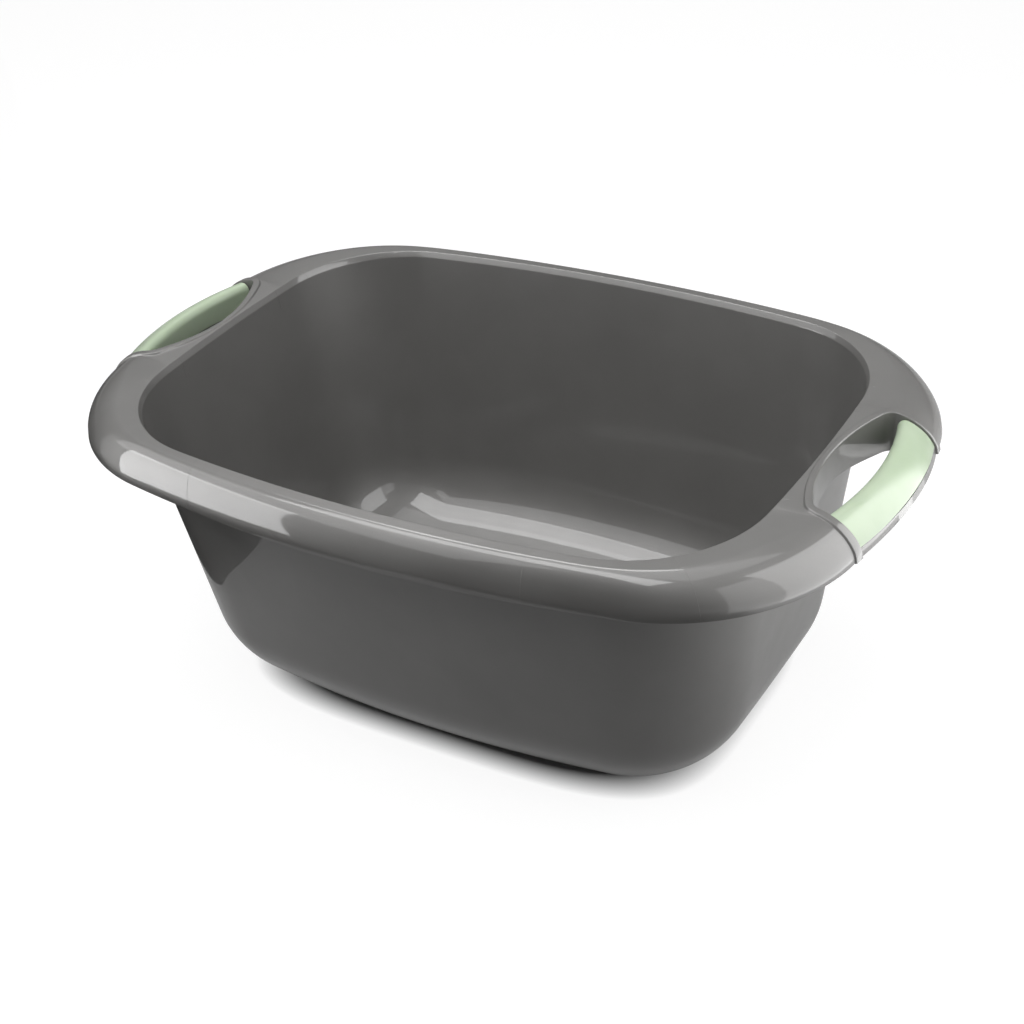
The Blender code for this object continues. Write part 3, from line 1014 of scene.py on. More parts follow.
@dataclass(frozen=True)
class TubMoulding:
    """The whole tub in one moulding: two skins, joined along their lower edges."""

    basin: Basin
    bar: CarryBar
    wall: float = 0.0018
    edge_drop: float = 0.0006
    crease: float = math.radians(38)

    def add_end_wall(self, sheets: Sheets, collar: list[Line], wall: list[Line],
                     bar: list[Line]) -> None:
        """Adds the upright face in which the bar ends.

        Args:
            sheets: The mesh to add to.
            collar: The collar's rows.
            wall: The rows of the wall in the hole.
            bar: The bar's rows.
        """
        edge = [row[-1] for row in collar[self.basin.counts.window:]]
        section = bar[-1][self.bar.below_grip:]
        sheets.add_face([edge[0], wall[-1][1], bar[-1][self.bar.below_grip - 1], section[0]])
        last = len(edge) - 2
        for index in range(last):
            sheets.add_face([edge[index], section[index], section[index + 1], edge[index + 1]])
        sheets.add_face([edge[last], section[last], section[last + 1]])
        sheets.add_face([edge[last], section[last + 1], section[last + 2], edge[last + 1]])

    def add_skin(self, sheets: Sheets, sunk: float) -> list[Line]:
        """Adds one whole skin of a quarter of the tub.

        Args:
            sheets: The mesh to add to.
            sunk: Depth of the skin below the visible one.

        Returns:
            The lines where the skin ends below: skirt, collar's end, bar's end, hole.
        """
        bowl = self.basin.bowl_grid(sunk)
        rim = self.basin.rim_grid(sunk)
        collar = self.basin.hole.grid(sunk)
        bar = self.bar.grid(sunk)
        wall = self.basin.hole.wall_grid(
            collar, sunk, self.bar.inner_depth + self.bar.grip_gap + sunk, self.bar.depth)
        for rows in (bowl, rim, collar, wall, bar):
            sheets.add_grid(rows)
        middle = Vector((0, 0, bowl[0][0].z))
        for first, second in zip(bowl[0], bowl[0][1:]):
            sheets.add_face([middle, first, second])
        self.add_end_wall(sheets, collar, wall, bar)
        return [[line[-1] for line in reversed(rim[1:])], list(collar[-1]),
                [row[-1] for row in reversed(bar)],
                [row[-1] for row in wall] + [row[0] for row in reversed(bar[:-1])]]

    def mesh(self) -> bpy.types.Mesh:
        """A quarter of the tub, open where its mirrored copies join on.

        Returns:
            The mesh.
        """
        sheets = Sheets()
        skirt, collar, bar, hole = self.add_skin(sheets, 0)
        back_skirt, back_collar, back_bar, back_hole = self.add_skin(sheets, self.wall)
        edge = (self.basin.counts.edge, self.edge_drop)
        sheets.add_edge(skirt + collar[:1], back_skirt + back_collar[:1], *edge)
        sheets.add_face(collar + [bar[0], back_bar[0]] + back_collar[::-1])
        sheets.add_edge(bar, back_bar, *edge)
        sheets.add_edge(hole, back_hole, *edge)
        bmesh.ops.remove_doubles(sheets.bm, verts=sheets.bm.verts, dist=MERGE)
        for vertex in sheets.bm.verts:
            vertex.co = self.basin.rim.sloped(vertex.co)
        return sheets.finished("tub_moulding")

    def build(self, finish: bpy.types.Material) -> bpy.types.Object:
        """Makes the tub whole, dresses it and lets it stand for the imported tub.

        Args:
            finish: The grey plastic.

        Returns:
            The finished piece.
        """
        made = link("tub_moulding", self.mesh())
        mirror = made.modifiers.new("quarters", "MIRROR")
        mirror.use_axis = (True, True, False)
        mirror.merge_threshold = MERGE
        piece = flattened(made, finish, self.crease)
        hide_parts("tub")
        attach(piece, "root")
        LOG.info("tub moulding: %d faces", len(piece.data.polygons))
        return piece


def link(name: str, mesh: bpy.types.Mesh) -> bpy.types.Object:
    """Puts a mesh in the scene as an object at the origin.

    Args:
        name: The object's name.
        mesh: The mesh it shows.

    Returns:
        The object.
    """
    made = bpy.data.objects.new(name, mesh)
    bpy.context.scene.collection.objects.link(made)
    return made


def flattened(source: bpy.types.Object, finish: bpy.types.Material,
              crease: float) -> bpy.types.Object:
    """Turns an object and its modifiers into a plain mesh.

    Args:
        source: The object whose modifiers are worked in. They are removed.
        finish: The material of the result.
        crease: Edges sharper than this angle stay crisp.

    Returns:
        The same object, with its plain mesh.
    """
    bpy.context.view_layer.update()
    graph = bpy.context.evaluated_depsgraph_get()
    mesh = bpy.data.meshes.new_from_object(source.evaluated_get(graph), depsgraph=graph)
    source.modifiers.clear()
    source.data = mesh
    mesh.name = source.name
    mesh.materials.clear()
    mesh.materials.append(finish)
    mesh.shade_smooth()
    mesh.set_sharp_from_angle(angle=crease)
    return source


def sum_of(operation: str, turned: bool = False) -> Callable[["Number", object], "Number"]:
    """How a Number writes one kind of sum as a Math node.

    Args:
        operation: The node's operation.
        turned: Whether the other number comes first.

    Returns:
        The method.
    """
    def result(self: "Number", other: object) -> "Number":
        """The sum of this kind."""
        return self.nodes.worked(operation, *((other, self) if turned else (self, other)))
    return result


class Number:
    """A number inside a node tree that ordinary sums can be written with."""

    __add__ = sum_of("ADD")
    __sub__ = sum_of("SUBTRACT")
    __rsub__ = sum_of("SUBTRACT", turned=True)
    __mul__ = sum_of("MULTIPLY")
    __truediv__ = sum_of("DIVIDE")
    __rtruediv__ = sum_of("DIVIDE", turned=True)
    __pow__ = sum_of("POWER")
    at_least = sum_of("MAXIMUM")
    at_most = sum_of("MINIMUM")

    def __init__(self, nodes: "Nodes", socket: bpy.types.NodeSocket) -> None:
        """Keeps the tree's nodes and the socket that the number comes from."""
        self.nodes = nodes
        self.socket = socket

    def worked(self, operation: str) -> "Number":
        """What an operation makes of the number."""
        return self.nodes.worked(operation, self)

    def share(self) -> "Number":
        """The number, kept between 0 and 1."""
        return self.at_least(0.0).at_most(1.0)


class Nodes:
    """A node tree that is built step by step."""

    def __init__(self, tree: bpy.types.NodeTree) -> None:
        """Keeps the tree."""
        self.tree = tree

    def put(self, socket: bpy.types.NodeSocket, value: object) -> None:
        """Links an input or gives it a plain value.

        Args:
            socket: The input.
            value: A number of the tree, a socket, a colour or a plain value.
        """
        if isinstance(value, Number):
            value = value.socket
        if isinstance(value, bpy.types.NodeSocket):
            self.tree.links.new(value, socket)
        else:
            socket.default_value = (*value, 1) if socket.type == "RGBA" else value

    def fill(self, node: bpy.types.Node, inputs: dict[str, object]) -> None:
        """Gives a node's inputs their values, by name.

        Args:
            node: The node.
            inputs: A value or a socket for each input's name.
        """
        for label, value in inputs.items():
            self.put(next(found for found in node.inputs
                          if found.name == label and found.enabled), value)

    def add(self, kind: str, inputs: dict[str, object] | None = None,
            **settings: object) -> bpy.types.Node:
        """Adds a node.

        Args:
            kind: The node's type.
            inputs: Values for its inputs, by name.
            settings: The node's own settings.

        Returns:
            The node.
        """
        node = self.tree.nodes.new(kind)
        for label, value in settings.items():
            setattr(node, label, value)
        self.fill(node, inputs or {})
        return node

    def worked(self, operation: str, *values: object) -> Number:
        """The result of one Math node, from numbers, sockets or plain values.

        Args:
            operation: The node's operation.
            values: Its inputs.

        Returns:
            The result.
        """
        node = self.add("ShaderNodeMath", operation=operation)
        for socket, value in zip(node.inputs, values):
            self.put(socket, value)
        return Number(self, node.outputs[0])


class Pattern(Nodes):
    """A geometry node tree with named sizes."""

    def __init__(self, name: str, sizes: dict[str, float]) -> None:
        """Starts a tree.

        Args:
            name: The tree's name.
            sizes: Its named inputs and their values. Whole numbers stay whole.
        """
        super().__init__(bpy.data.node_groups.new(name, "GeometryNodeTree"))
        self.values: dict[str, object] = {}
        face = self.tree.interface
        face.new_socket("Geometry", in_out="INPUT", socket_type="NodeSocketGeometry")
        for label, value in sizes.items():
            kind = "NodeSocketInt" if isinstance(value, int) else "NodeSocketFloat"
            socket = face.new_socket(label, in_out="INPUT", socket_type=kind)
            self.values[socket.identifier] = value
        self.finish = face.new_socket("Finish", in_out="INPUT", socket_type="NodeSocketMaterial")
        face.new_socket("Geometry", in_out="OUTPUT", socket_type="NodeSocketGeometry")
        self.source = self.add("NodeGroupInput")

    def size(self, label: str) -> Number:
        """One of the named inputs."""
        return Number(self, self.source.outputs[label])

    def made(self, piece: bpy.types.Object, shape: bpy.types.NodeSocket,
             finish: bpy.types.Material, crease: float) -> bpy.types.Object:
        """Ends the tree and turns its result into the piece's plain mesh.

        Args:
            piece: The object that the tree works on.
            shape: The tree's last shape.
            finish: The material.
            crease: Edges sharper than this angle stay crisp.

        Returns:
            The piece.
        """
        plain = self.add("GeometryNodeRealizeInstances", {"Geometry": shape})
        dressed = self.add("GeometryNodeSetMaterial", {
            "Geometry": plain.outputs[0], "Material": self.source.outputs["Finish"]})
        self.add("NodeGroupOutput", {"Geometry": dressed.outputs[0]})
        modifier = piece.modifiers.new("pattern", "NODES")
        modifier.node_group = self.tree
        for label, value in self.values.items():
            modifier[label] = value
        modifier[self.finish.identifier] = finish
        return flattened(piece, finish, crease)


@dataclass(frozen=True)
class Grip:
    """The green saddle over a bar, worked out from the bar's own rule."""

    bar: CarryBar
    along: int = 97
    across: int = 61
    edge_round: float = 0.00045
    edge_steps: int = 3
    edge_angle: float = math.radians(50)
    crease: float = math.radians(40)
    side_share: float = 0.10
    round_share: float = 0.36

    def sizes(self) -> dict[str, float]:
        """The named sizes of the tree, taken from the rim, the hole and the bar.

        Returns:
            The sizes by name.
        """
        rim, hole, bar = self.bar.rim, self.bar.hole, self.bar
        return {
            "Along": self.along, "Across": self.across, "Height": rim.height,
            "Bar X": hole.bar_x, "Bar Radius": hole.bar_radius, "Corner X": hole.corner_x,
            "Half Length": hole.half_length - bar.end_gap, "Slant": hole.slant,
            "Rim X": rim.edge.a, "Rim Bow": rim.edge.end_bow, "Crest X": rim.crest.a,
            "Crest Bow": rim.crest.end_bow, "Crest Y": rim.crest.b,
            "Side Slope": rim.side_slope, "End Slope": rim.end_slope,
            "Bulge": bar.bulge, "Rise": bar.rise, "Crown Share": rim.crown_share,
            "Power": rim.power, "Drop": rim.drop,
            "Last Turn": rim.turn_at(bar.outer_depth), "Round": bar.round,
            "Inner Depth": bar.inner_depth, "Wall": bar.grip_wall,
            "Side Share": self.side_share, "Round Share": self.round_share}

    def placed(self, pattern: Pattern, share: Number, y: Number,
               section: Number) -> tuple[Number, Number, Number]:
        """The saddle's section at one width.

        Args:
            pattern: The tree.
            share: Share of the bar's half length, from -1 to 1.
            y: Place along the tub's end.
            section: Place round the section, 0 at the inner edge to 1 at the outer edge.

        Returns:
            X on the plain bar, X on the swollen bar, and height.
        """
        size = pattern.size
        side, rounding = size("Side Share"), size("Round Share")
        power, bend = size("Power"), size("Round")

        def bowed(x: Number, bow: Number) -> Number:
            """X of an end that reaches x in the middle and bends with a radius."""
            return x - bow + (bow * bow - y * y).worked("SQRT")

        inner = bowed(size("Bar X"), size("Bar Radius"))
        outer = bowed(size("Rim X"), size("Rim Bow"))
        crest = bowed(size("Crest X"), size("Crest Bow"))
        start = outer - size("Crown Share") * (outer - crest)
        width = outer - start
        turn = ((section - side) / (rounding - side)).share() * QUARTER
        way = ((section - rounding) / (1.0 - rounding)).share()
        reach = ((inner + bend - start) / width).share()
        first = (reach ** (power * 0.5)).worked("ARCSINE")
        crown_turn = first + (size("Last Turn") - first) * way
        out = width * (crown_turn.worked("SINE") ** (2.0 / power)
                       - first.worked("SINE") ** (2.0 / power))
        x = inner + bend * (1.0 - turn.worked("COSINE")) + out
        crown = ((x - start) / width).share()
        fall = size("Drop") * (1.0 - (1.0 - crown ** power) ** (1.0 / power))
        above = bend * (1.0 - turn.worked("SINE")) + fall
        down = (1.0 - section / side).share()
        depth = above + (size("Inner Depth") - above) * down
        swell = 1.0 - share * share
        swollen = x + size("Bulge") * swell * ((x - inner) / (outer - inner)).share()
        end_part = (crest / size("Crest X")) ** 2.0
        sideways = y / size("Crest Y")
        side_part = sideways * sideways
        slope = size("Side Slope") + ((size("End Slope") - size("Side Slope"))
                                      * (end_part / (end_part + side_part)))
        reached = ((swollen - crest) / (outer - crest)).at_least(0.0)
        height = size("Height") - depth + size("Rise") * swell - slope * reached
        return x, swollen, height

    def build(self, name: str, node: str, turned: bool,
              finish: bpy.types.Material) -> bpy.types.Object:
        """Makes one grip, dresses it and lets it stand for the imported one.

        Args:
            name: The piece's name.
            node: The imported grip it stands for.
            turned: Whether it lies on the tub's left end.
            finish: The green plastic.

        Returns:
            The finished piece.
        """
        pattern = Pattern(name, self.sizes())
        size = pattern.size
        sheet = pattern.add("GeometryNodeMeshGrid", {
            "Size X": 2.0, "Size Y": 1.0, "Vertices X": size("Along"),
            "Vertices Y": size("Across")})
        place = pattern.add("ShaderNodeSeparateXYZ", {
            "Vector": pattern.add("GeometryNodeInputPosition").outputs[0]})
        share = Number(pattern, place.outputs["X"])
        section = Number(pattern, place.outputs["Y"]) + 0.5
        y = share * size("Half Length")
        for _ in range(SETTLING - 1):
            x, _, _ = self.placed(pattern, share, y, section)
            y = share * (size("Half Length") + size("Slant") * (x - size("Corner X")))
        _, x, z = self.placed(pattern, share, y, section)
        sign = -1.0 if turned else 1.0
        spot = pattern.add("ShaderNodeCombineXYZ", {"X": x * sign, "Y": y * sign, "Z": z})
        skin = pattern.add("GeometryNodeSetPosition", {
            "Geometry": sheet.outputs["Mesh"], "Position": spot.outputs[0]})
        skin = pattern.add("GeometryNodeFlipFaces", {"Mesh": skin.outputs[0]})
        inward = pattern.add("GeometryNodeExtrudeMesh", {
            "Mesh": skin.outputs[0], "Offset Scale": size("Wall") * -1.0, "Individual": False},
            mode="FACES")
        back = pattern.add("GeometryNodeFlipFaces", {"Mesh": inward.outputs["Mesh"]})
        both = pattern.add("GeometryNodeJoinGeometry")
        for part in (skin, back):
            pattern.tree.links.new(part.outputs[0], both.inputs[0])
        closed = pattern.add("GeometryNodeMergeByDistance", {
            "Geometry": both.outputs[0], "Distance": MERGE})
        piece = pattern.made(link(name, bpy.data.meshes.new(name)), closed.outputs[0], finish,
                             self.crease)
        rounding = piece.modifiers.new("rounded edges", "BEVEL")
        rounding.width = self.edge_round
        rounding.segments = self.edge_steps
        rounding.limit_method = "ANGLE"
        rounding.angle_limit = self.edge_angle
        flattened(piece, finish, self.crease)
        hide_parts(node)
        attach(piece, "root")
        LOG.info("%s: %d faces", name, len(piece.data.polygons))
        return piece


class Seam(NamedTuple):
    """One joint of the mould's inserts: its column, its quarter and how far it runs."""

    column: Column
    side_x: int
    side_y: int
    down: float = 0.0
    share: float = 1.0


@dataclass(frozen=True)
class MouldSeams:
    """Thin raised lines that the joints of the mould's inserts leave on the moulding."""

    basin: Basin
    seams: tuple[Seam, ...]
    radius: float = 0.00010
    step: float = 0.0012
    wander: float = 0.00006
    seed: float = 4.0
    sides: int = 8
    noise_scale: float = 300.0
    crease: float = math.radians(60)

    def paths(self) -> bpy.types.Mesh:
        """The seams' middle lines, as loose edges.

        Returns:
            The mesh of the lines.
        """
        mesh = bpy.data.meshes.new("mould_seams")
        points: list[Vector] = []
        edges: list[tuple[int, int]] = []
        for seam in self.seams:
            line = self.basin.seam(seam.column, seam.down, seam.share)
            edges += [(len(points) + step, len(points) + step + 1)
                      for step in range(len(line) - 1)]
            points += [Vector((seam.side_x * point.x, seam.side_y * point.y, point.z))
                       for point in line]
        mesh.from_pydata(points, edges, [])
        return mesh

    def build(self, finish: bpy.types.Material) -> bpy.types.Object:
        """Makes the seams as thin beads that follow their lines, slightly unevenly.

        Args:
            finish: The grey plastic.

        Returns:
            The finished piece.
        """
        pattern = Pattern("mould_seams", {
            "Radius": self.radius, "Step": self.step, "Wander": self.wander,
            "Seed": self.seed, "Sides": self.sides})
        size = pattern.size
        line = pattern.add("GeometryNodeMeshToCurve", {
            "Mesh": pattern.source.outputs["Geometry"]})
        even = pattern.add("GeometryNodeResampleCurve", {
            "Curve": line.outputs[0], "Length": size("Step")}, mode="LENGTH")
        noise = pattern.add("ShaderNodeTexNoise", {
            "W": size("Seed"), "Scale": self.noise_scale, "Detail": 1.0},
            noise_dimensions="4D", normalize=False)
        drift = pattern.add("ShaderNodeVectorMath", {
            "Vector": noise.outputs["Color"], "Scale": size("Wander")}, operation="SCALE")
        moved = pattern.add("GeometryNodeSetPosition", {
            "Geometry": even.outputs[0], "Offset": drift.outputs[0]})
        ring = pattern.add("GeometryNodeCurvePrimitiveCircle", {
            "Resolution": size("Sides"), "Radius": size("Radius")})
        bead = pattern.add("GeometryNodeCurveToMesh", {
            "Curve": moved.outputs[0], "Profile Curve": ring.outputs[0], "Fill Caps": True})
        piece = pattern.made(link("mould_seams", self.paths()), bead.outputs[0], finish,
                             self.crease)
        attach(piece, "root")
        LOG.info("mould seams: %d faces", len(piece.data.polygons))
        return piece


class Shader(Nodes):
    """A material's nodes, starting from one Principled shader."""

    def __init__(self, name: str) -> None:
        """Starts a material.

        Args:
            name: The material's name.
        """
        self.material = bpy.data.materials.new(name)
        self.material.use_nodes = True
        super().__init__(self.material.node_tree)
        self.place = self.add("ShaderNodeTexCoord").outputs["Object"]

    def dressed(self, inputs: dict[str, object]) -> bpy.types.Material:
        """Gives the shader's own inputs their values and returns the material."""
        self.fill(self.tree.nodes["Principled BSDF"], inputs)
        return self.material

    def noise(self, scale: float, detail: float) -> bpy.types.NodeSocket:
        """A noise pattern over the object, from 0 to 1."""
        return self.add("ShaderNodeTexNoise", {
            "Vector": self.place, "Scale": scale, "Detail": detail}).outputs[0]

    def ramp(self, value: object, span: Range, over: Range = (0.0, 1.0)) -> bpy.types.NodeSocket:
        """Stretches a span of a pattern over a range of its own.

        Args:
            value: The pattern.
            span: The part of the pattern that is stretched.
            over: What it is stretched to.

        Returns:
            The stretched pattern.
        """
        return self.add("ShaderNodeMapRange", {
            "Value": value, "From Min": span[0], "From Max": span[1],
            "To Min": over[0], "To Max": over[1]}).outputs[0]

    def mixed(self, kind: str, share: object, first: object, last: object
              ) -> bpy.types.NodeSocket:
        """Two numbers (FLOAT) or colours (RGBA), mixed by a pattern."""
        return self.add("ShaderNodeMix", {"Factor": share, "A": first, "B": last},
                        data_type=kind).outputs["Result"]

    def bumped(self, scale: float, detail: float, distance: float, strength: float,
               **below: bpy.types.NodeSocket) -> bpy.types.NodeSocket:
        """Noise as a bump over the surface, on top of another one given as Normal.

        Args:
            scale: The noise's scale.
            detail: The noise's detail.
            distance: How high the bump is.
            strength: How much of it shows.
            below: The bump that this one lies on, as Normal.

        Returns:
            The surface's tilted direction.
        """
        return self.add("ShaderNodeBump", {
            "Height": self.noise(scale, detail), "Distance": distance,
            "Strength": strength, **below}).outputs[0]


@dataclass(frozen=True)
class GreyPlastic:
    """Dark grey moulding plastic: satin, with a fine pearl pigment, under a glossy skin.

    Each pattern is its scale and detail. Each bump adds how far and how strongly it tilts.
    """

    deep: Colour = (0.160, 0.157, 0.152)
    pale: Colour = (0.184, 0.181, 0.175)
    flake: Noise = (1400.0, 2)
    cloud: Noise = (16.0, 4)
    flake_share: float = 0.25
    wear: Noise = (38.0, 5)
    satin: Range = (0.40, 0.48)
    satin_level: float = 0.25
    pearl: float = 0.08
    skin: float = 0.65
    skin_gloss: Range = (0.03, 0.06)
    wave: Bump = (22.0, 1, 0.0004, 0.10)
    peel: Bump = (300.0, 2, 0.00001, 0.30)

    def build(self) -> bpy.types.Material:
        """Makes the material.

        Returns:
            The grey plastic.
        """
        shader = Shader("grey_plastic")
        flake = shader.noise(*self.flake)
        tone = shader.mixed("FLOAT", self.flake_share, shader.noise(*self.cloud), flake)
        wear = shader.noise(*self.wear)
        peel = shader.bumped(*self.peel, Normal=shader.bumped(*self.wave))
        return shader.dressed({
            "Base Color": shader.mixed("RGBA", shader.ramp(tone, CLOUDS), self.deep, self.pale),
            "Roughness": shader.ramp(wear, PATCHES, self.satin),
            "Specular IOR Level": self.satin_level, "Metallic": self.pearl,
            "Coat Weight": self.skin,
            "Coat Roughness": shader.ramp(wear, PATCHES, self.skin_gloss),
            "Normal": peel, "Coat Normal": peel})


@dataclass(frozen=True)
class GreenPlastic:
    """Pale green glossy plastic of the grips, which lets a little light in."""

    deep: Colour = (0.560, 0.690, 0.490)
    pale: Colour = (0.620, 0.740, 0.550)
    cloud: Noise = (30.0, 4)
    wear: Noise = (90.0, 4)
    gloss: Range = (0.16, 0.26)
    grain: Bump = (500.0, 2, 0.00003, 0.4)
    glow: float = 0.08
    glow_colour: Colour = (0.8, 1.0, 0.5)
    glow_depth: float = 0.002

    def build(self) -> bpy.types.Material:
        """Makes the material.

        Returns:
            The green plastic.
        """
        shader = Shader("green_plastic")
        cloud = shader.ramp(shader.noise(*self.cloud), CLOUDS)
        return shader.dressed({
            "Base Color": shader.mixed("RGBA", cloud, self.deep, self.pale),
            "Roughness": shader.ramp(shader.noise(*self.wear), PATCHES, self.gloss),
            "Subsurface Weight": self.glow, "Subsurface Radius": self.glow_colour,
            "Subsurface Scale": self.glow_depth, "Normal": shader.bumped(*self.grain)})


@dataclass(frozen=True)
class FloorFinish:
    """A pale floor that looks white, keeps the tub's shadow and stays dark under the tub, where
    its glow is left out as a painted shadow.
    """

    tone: Colour = (0.25, 0.25, 0.25)
    roughness: float = 0.9
    gloss_level: float = 0.1
    lift: float = 0.87
    # Share of the glow that glossy and transmission rays see, so the floor shows dimmer in
    # reflections than to the eye.
    mirrored: float = 0.45
    # Reach, squareness and soft edge of the painted shadow under the tub, where the glow is left
    # out.
    under: Range = (0.185, 0.125)
    under_power: float = 4.0
    under_edge: Range = (0.5, 1.0)

    def build(self) -> bpy.types.Material:
        """Makes the material.

        Returns:
            The floor's finish.
        """
        shader = Shader("studio_floor")
        path = shader.add("ShaderNodeLightPath").outputs
        bounced = shader.worked("MAXIMUM", path["Is Glossy Ray"], path["Is Transmission Ray"])
        seen = (bounced * self.mirrored).at_least(path["Is Camera Ray"])
        return shader.dressed({
            "Base Color": self.tone, "Roughness": self.roughness,
            "Specular IOR Level": self.gloss_level, "Emission Color": (1.0, 1.0, 1.0),
            # The glow is left out under the tub, which paints a shadow there.
            "Emission Strength": seen * self.painted_shadow_mask(shader) * self.lift})

    def painted_shadow_mask(self, shader: Shader) -> Number:
        """Marks the open floor, 0 under the tub, where the missing glow is a painted shadow, and 1
        beside it.

        Args:
            shader: The nodes to add to.

        Returns:
            The mark.
        """
        place = shader.add("ShaderNodeSeparateXYZ", {"Vector": shader.place}).outputs
        across, along = ((Number(shader, place[axis]) / reach).worked("ABSOLUTE")
                         ** self.under_power for axis, reach in zip("XY", self.under))
        return Number(shader, shader.ramp(across + along, self.under_edge))


@dataclass(frozen=True)
class SoftBox:
    """A rectangular studio light, with a gleam that shows in glossy surfaces alone."""

    name: str
    place: Point
    aim: Point
    width: float
    height: float
    brightness: float
    gleam: float
    apart: float = 0.02
    white_power: float = 4.0

    def build(self) -> None:
        """Adds the gleam, and the light where it has brightness of its own."""
        if self.brightness:
            self.add(self.name, self.brightness, 0.0)
        self.add(self.name + "_gleam", self.gleam, self.apart).visible_diffuse = False

    def add(self, name: str, brightness: float, forward: float) -> bpy.types.Object:
        """Adds one area light.

        Args:
            name: The light's name.
            brightness: How bright its face is, where 1 is white.
            forward: How far it stands in front of the light's place.

        Returns:
            The light.
        """
        data = bpy.data.lights.new(name, "AREA")
        data.shape = "RECTANGLE"
        data.size = self.width
        data.size_y = self.height
        data.energy = brightness * self.white_power * self.width * self.height
        light = bpy.data.objects.new(name, data)
        way = (Vector(self.aim) - Vector(self.place)).normalized()
        light.location = Vector(self.place) + way * forward
        light.rotation_euler = way.to_track_quat("-Z", "Y").to_euler()
        light.visible_camera = False
        bpy.context.scene.collection.objects.link(light)
        return light


@dataclass(frozen=True)
class DarkSheet:
    """A dark sheet beside the white floor, seen in glossy surfaces alone: a painted dark
    reflection that stands in for dark surroundings.
    """

    corners: tuple[Range, ...]
    height: float = 0.0005
    deep: Colour = (0.010, 0.010, 0.010)
    pale: Colour = (0.016, 0.016, 0.016)
    mottle: Noise = (60.0, 2)
    roughness: float = 0.9

    def build(self) -> None:
        """Adds the sheet, just above the floor."""
        shader = Shader("black_cloth")
        tone = shader.mixed("RGBA", shader.noise(*self.mottle), self.deep, self.pale)
        mesh = bpy.data.meshes.new("dark_sheet")
        mesh.from_pydata([(*corner, self.height) for corner in self.corners], [],
                         [tuple(range(len(self.corners)))])
        mesh.materials.append(shader.dressed({
            "Base Color": tone, "Roughness": self.roughness, "Specular IOR Level": 0.0}))
        sheet = link("dark_sheet", mesh)
        # Hidden from the camera, from diffuse light and from shadows, so it is only a painted dark
        # reflection.
        for ray in ("camera", "diffuse", "transmission", "shadow"):
            setattr(sheet, "visible_" + ray, False)


@dataclass(frozen=True)
class Studio:
    """White floor, soft lights and the camera."""

    boxes: tuple[SoftBox, ...]
    sheet: DarkSheet
    ambient: Range = (0.03, 0.20)
    sky_gleam: float = 0.8
    azimuth: float = math.radians(32.9087)
    elevation: float = math.radians(32.5532)
    roll: float = math.radians(-4.8154)
    lens: float = 66.113
    sensor: float = 36.0
    nearest: float = 0.01
    eye: Point = (0.5896, -0.9086, 0.8072)
    floor_half: float = 6.0

    def build(self) -> None:
        """Adds floor, world, lights and camera."""
        self.add_floor()
        self.add_world()
        for box in self.boxes:
            box.build()
        self.sheet.build()
        self.add_camera()

    def add_floor(self) -> None:
        """Adds the floor that the tub stands on."""
        mesh = bpy.data.meshes.new("studio_floor")
        half = self.floor_half
        corners = [(-half, -half, 0), (half, -half, 0), (half, half, 0), (-half, half, 0)]
        mesh.from_pydata(corners, [], [(0, 1, 2, 3)])
        mesh.materials.append(FloorFinish().build())
        link("studio_floor", mesh)

    def add_world(self) -> None:
        """Adds the dim light of the room, brighter overhead and white to the eye."""
        world = bpy.data.worlds.new("studio")
        world.use_nodes = True
        nodes = Nodes(world.node_tree)
        path = nodes.add("ShaderNodeLightPath").outputs
        place = nodes.add("ShaderNodeTexCoord").outputs["Generated"]
        height = Number(nodes, nodes.add("ShaderNodeSeparateXYZ", {"Vector": place}).outputs["Z"])
        room = nodes.add("ShaderNodeMapRange", {
            "Value": height, "To Min": self.ambient[0], "To Max": self.ambient[1]}).outputs[0]
        gleam = height.at_least(0.0) * self.sky_gleam * path["Is Glossy Ray"]
        nodes.fill(nodes.tree.nodes["Background"], {
            "Color": (1.0, 1.0, 1.0),
            "Strength": (gleam + room).at_least(path["Is Camera Ray"])})
        bpy.context.scene.world = world

    def add_camera(self) -> None:
        """Adds the camera at the photograph's view."""
        back = Vector((math.sin(self.azimuth) * math.cos(self.elevation),
                       -math.cos(self.azimuth) * math.cos(self.elevation),
                       math.sin(self.elevation)))
        level = Vector((math.cos(self.azimuth), math.sin(self.azimuth), 0))
        upright = back.cross(level)
        right = level * math.cos(self.roll) + upright * math.sin(self.roll)
        up = upright * math.cos(self.roll) - level * math.sin(self.roll)
        turn = Matrix((right, up, back)).transposed().to_4x4()
        data = bpy.data.cameras.new("photo_view")
        data.lens = self.lens
        data.sensor_width = self.sensor
        data.clip_start = self.nearest
        camera = bpy.data.objects.new("photo_view", data)
        camera.matrix_world = Matrix.Translation(self.eye) @ turn
        bpy.context.scene.collection.objects.link(camera)
        bpy.context.scene.camera = camera


def tub_parts() -> tuple[TubMoulding, Grip]:
    """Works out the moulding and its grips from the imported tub's box.

    Returns:
        The tub and the grip.
    """
    low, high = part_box("tub")
    edge = Outline((high[0] - low[0]) / 2 - CarryBar.bulge, (high[1] - low[1]) / 2,
                   corner=0.1196, side_bow=1.078, end_bow=0.449)
    opening = Outline(edge.a - RIM_WIDTH[0], edge.b - RIM_WIDTH[1],
                      corner=0.0875, side_bow=1.091, end_bow=1.398)
    foot = Outline(opening.a - WALL_LEAN[0], opening.b - WALL_LEAN[1],
                   corner=0.0780, side_bow=0.919, end_bow=3.690)
    counts = Counts()
    rim = Rim(opening, edge)
    hole = HandHole(rim, counts)
    bar = CarryBar(rim, hole, counts)
    basin = Basin(rim, hole, counts, foot, TubMoulding.wall)
    return TubMoulding(basin, bar), Grip(bar)


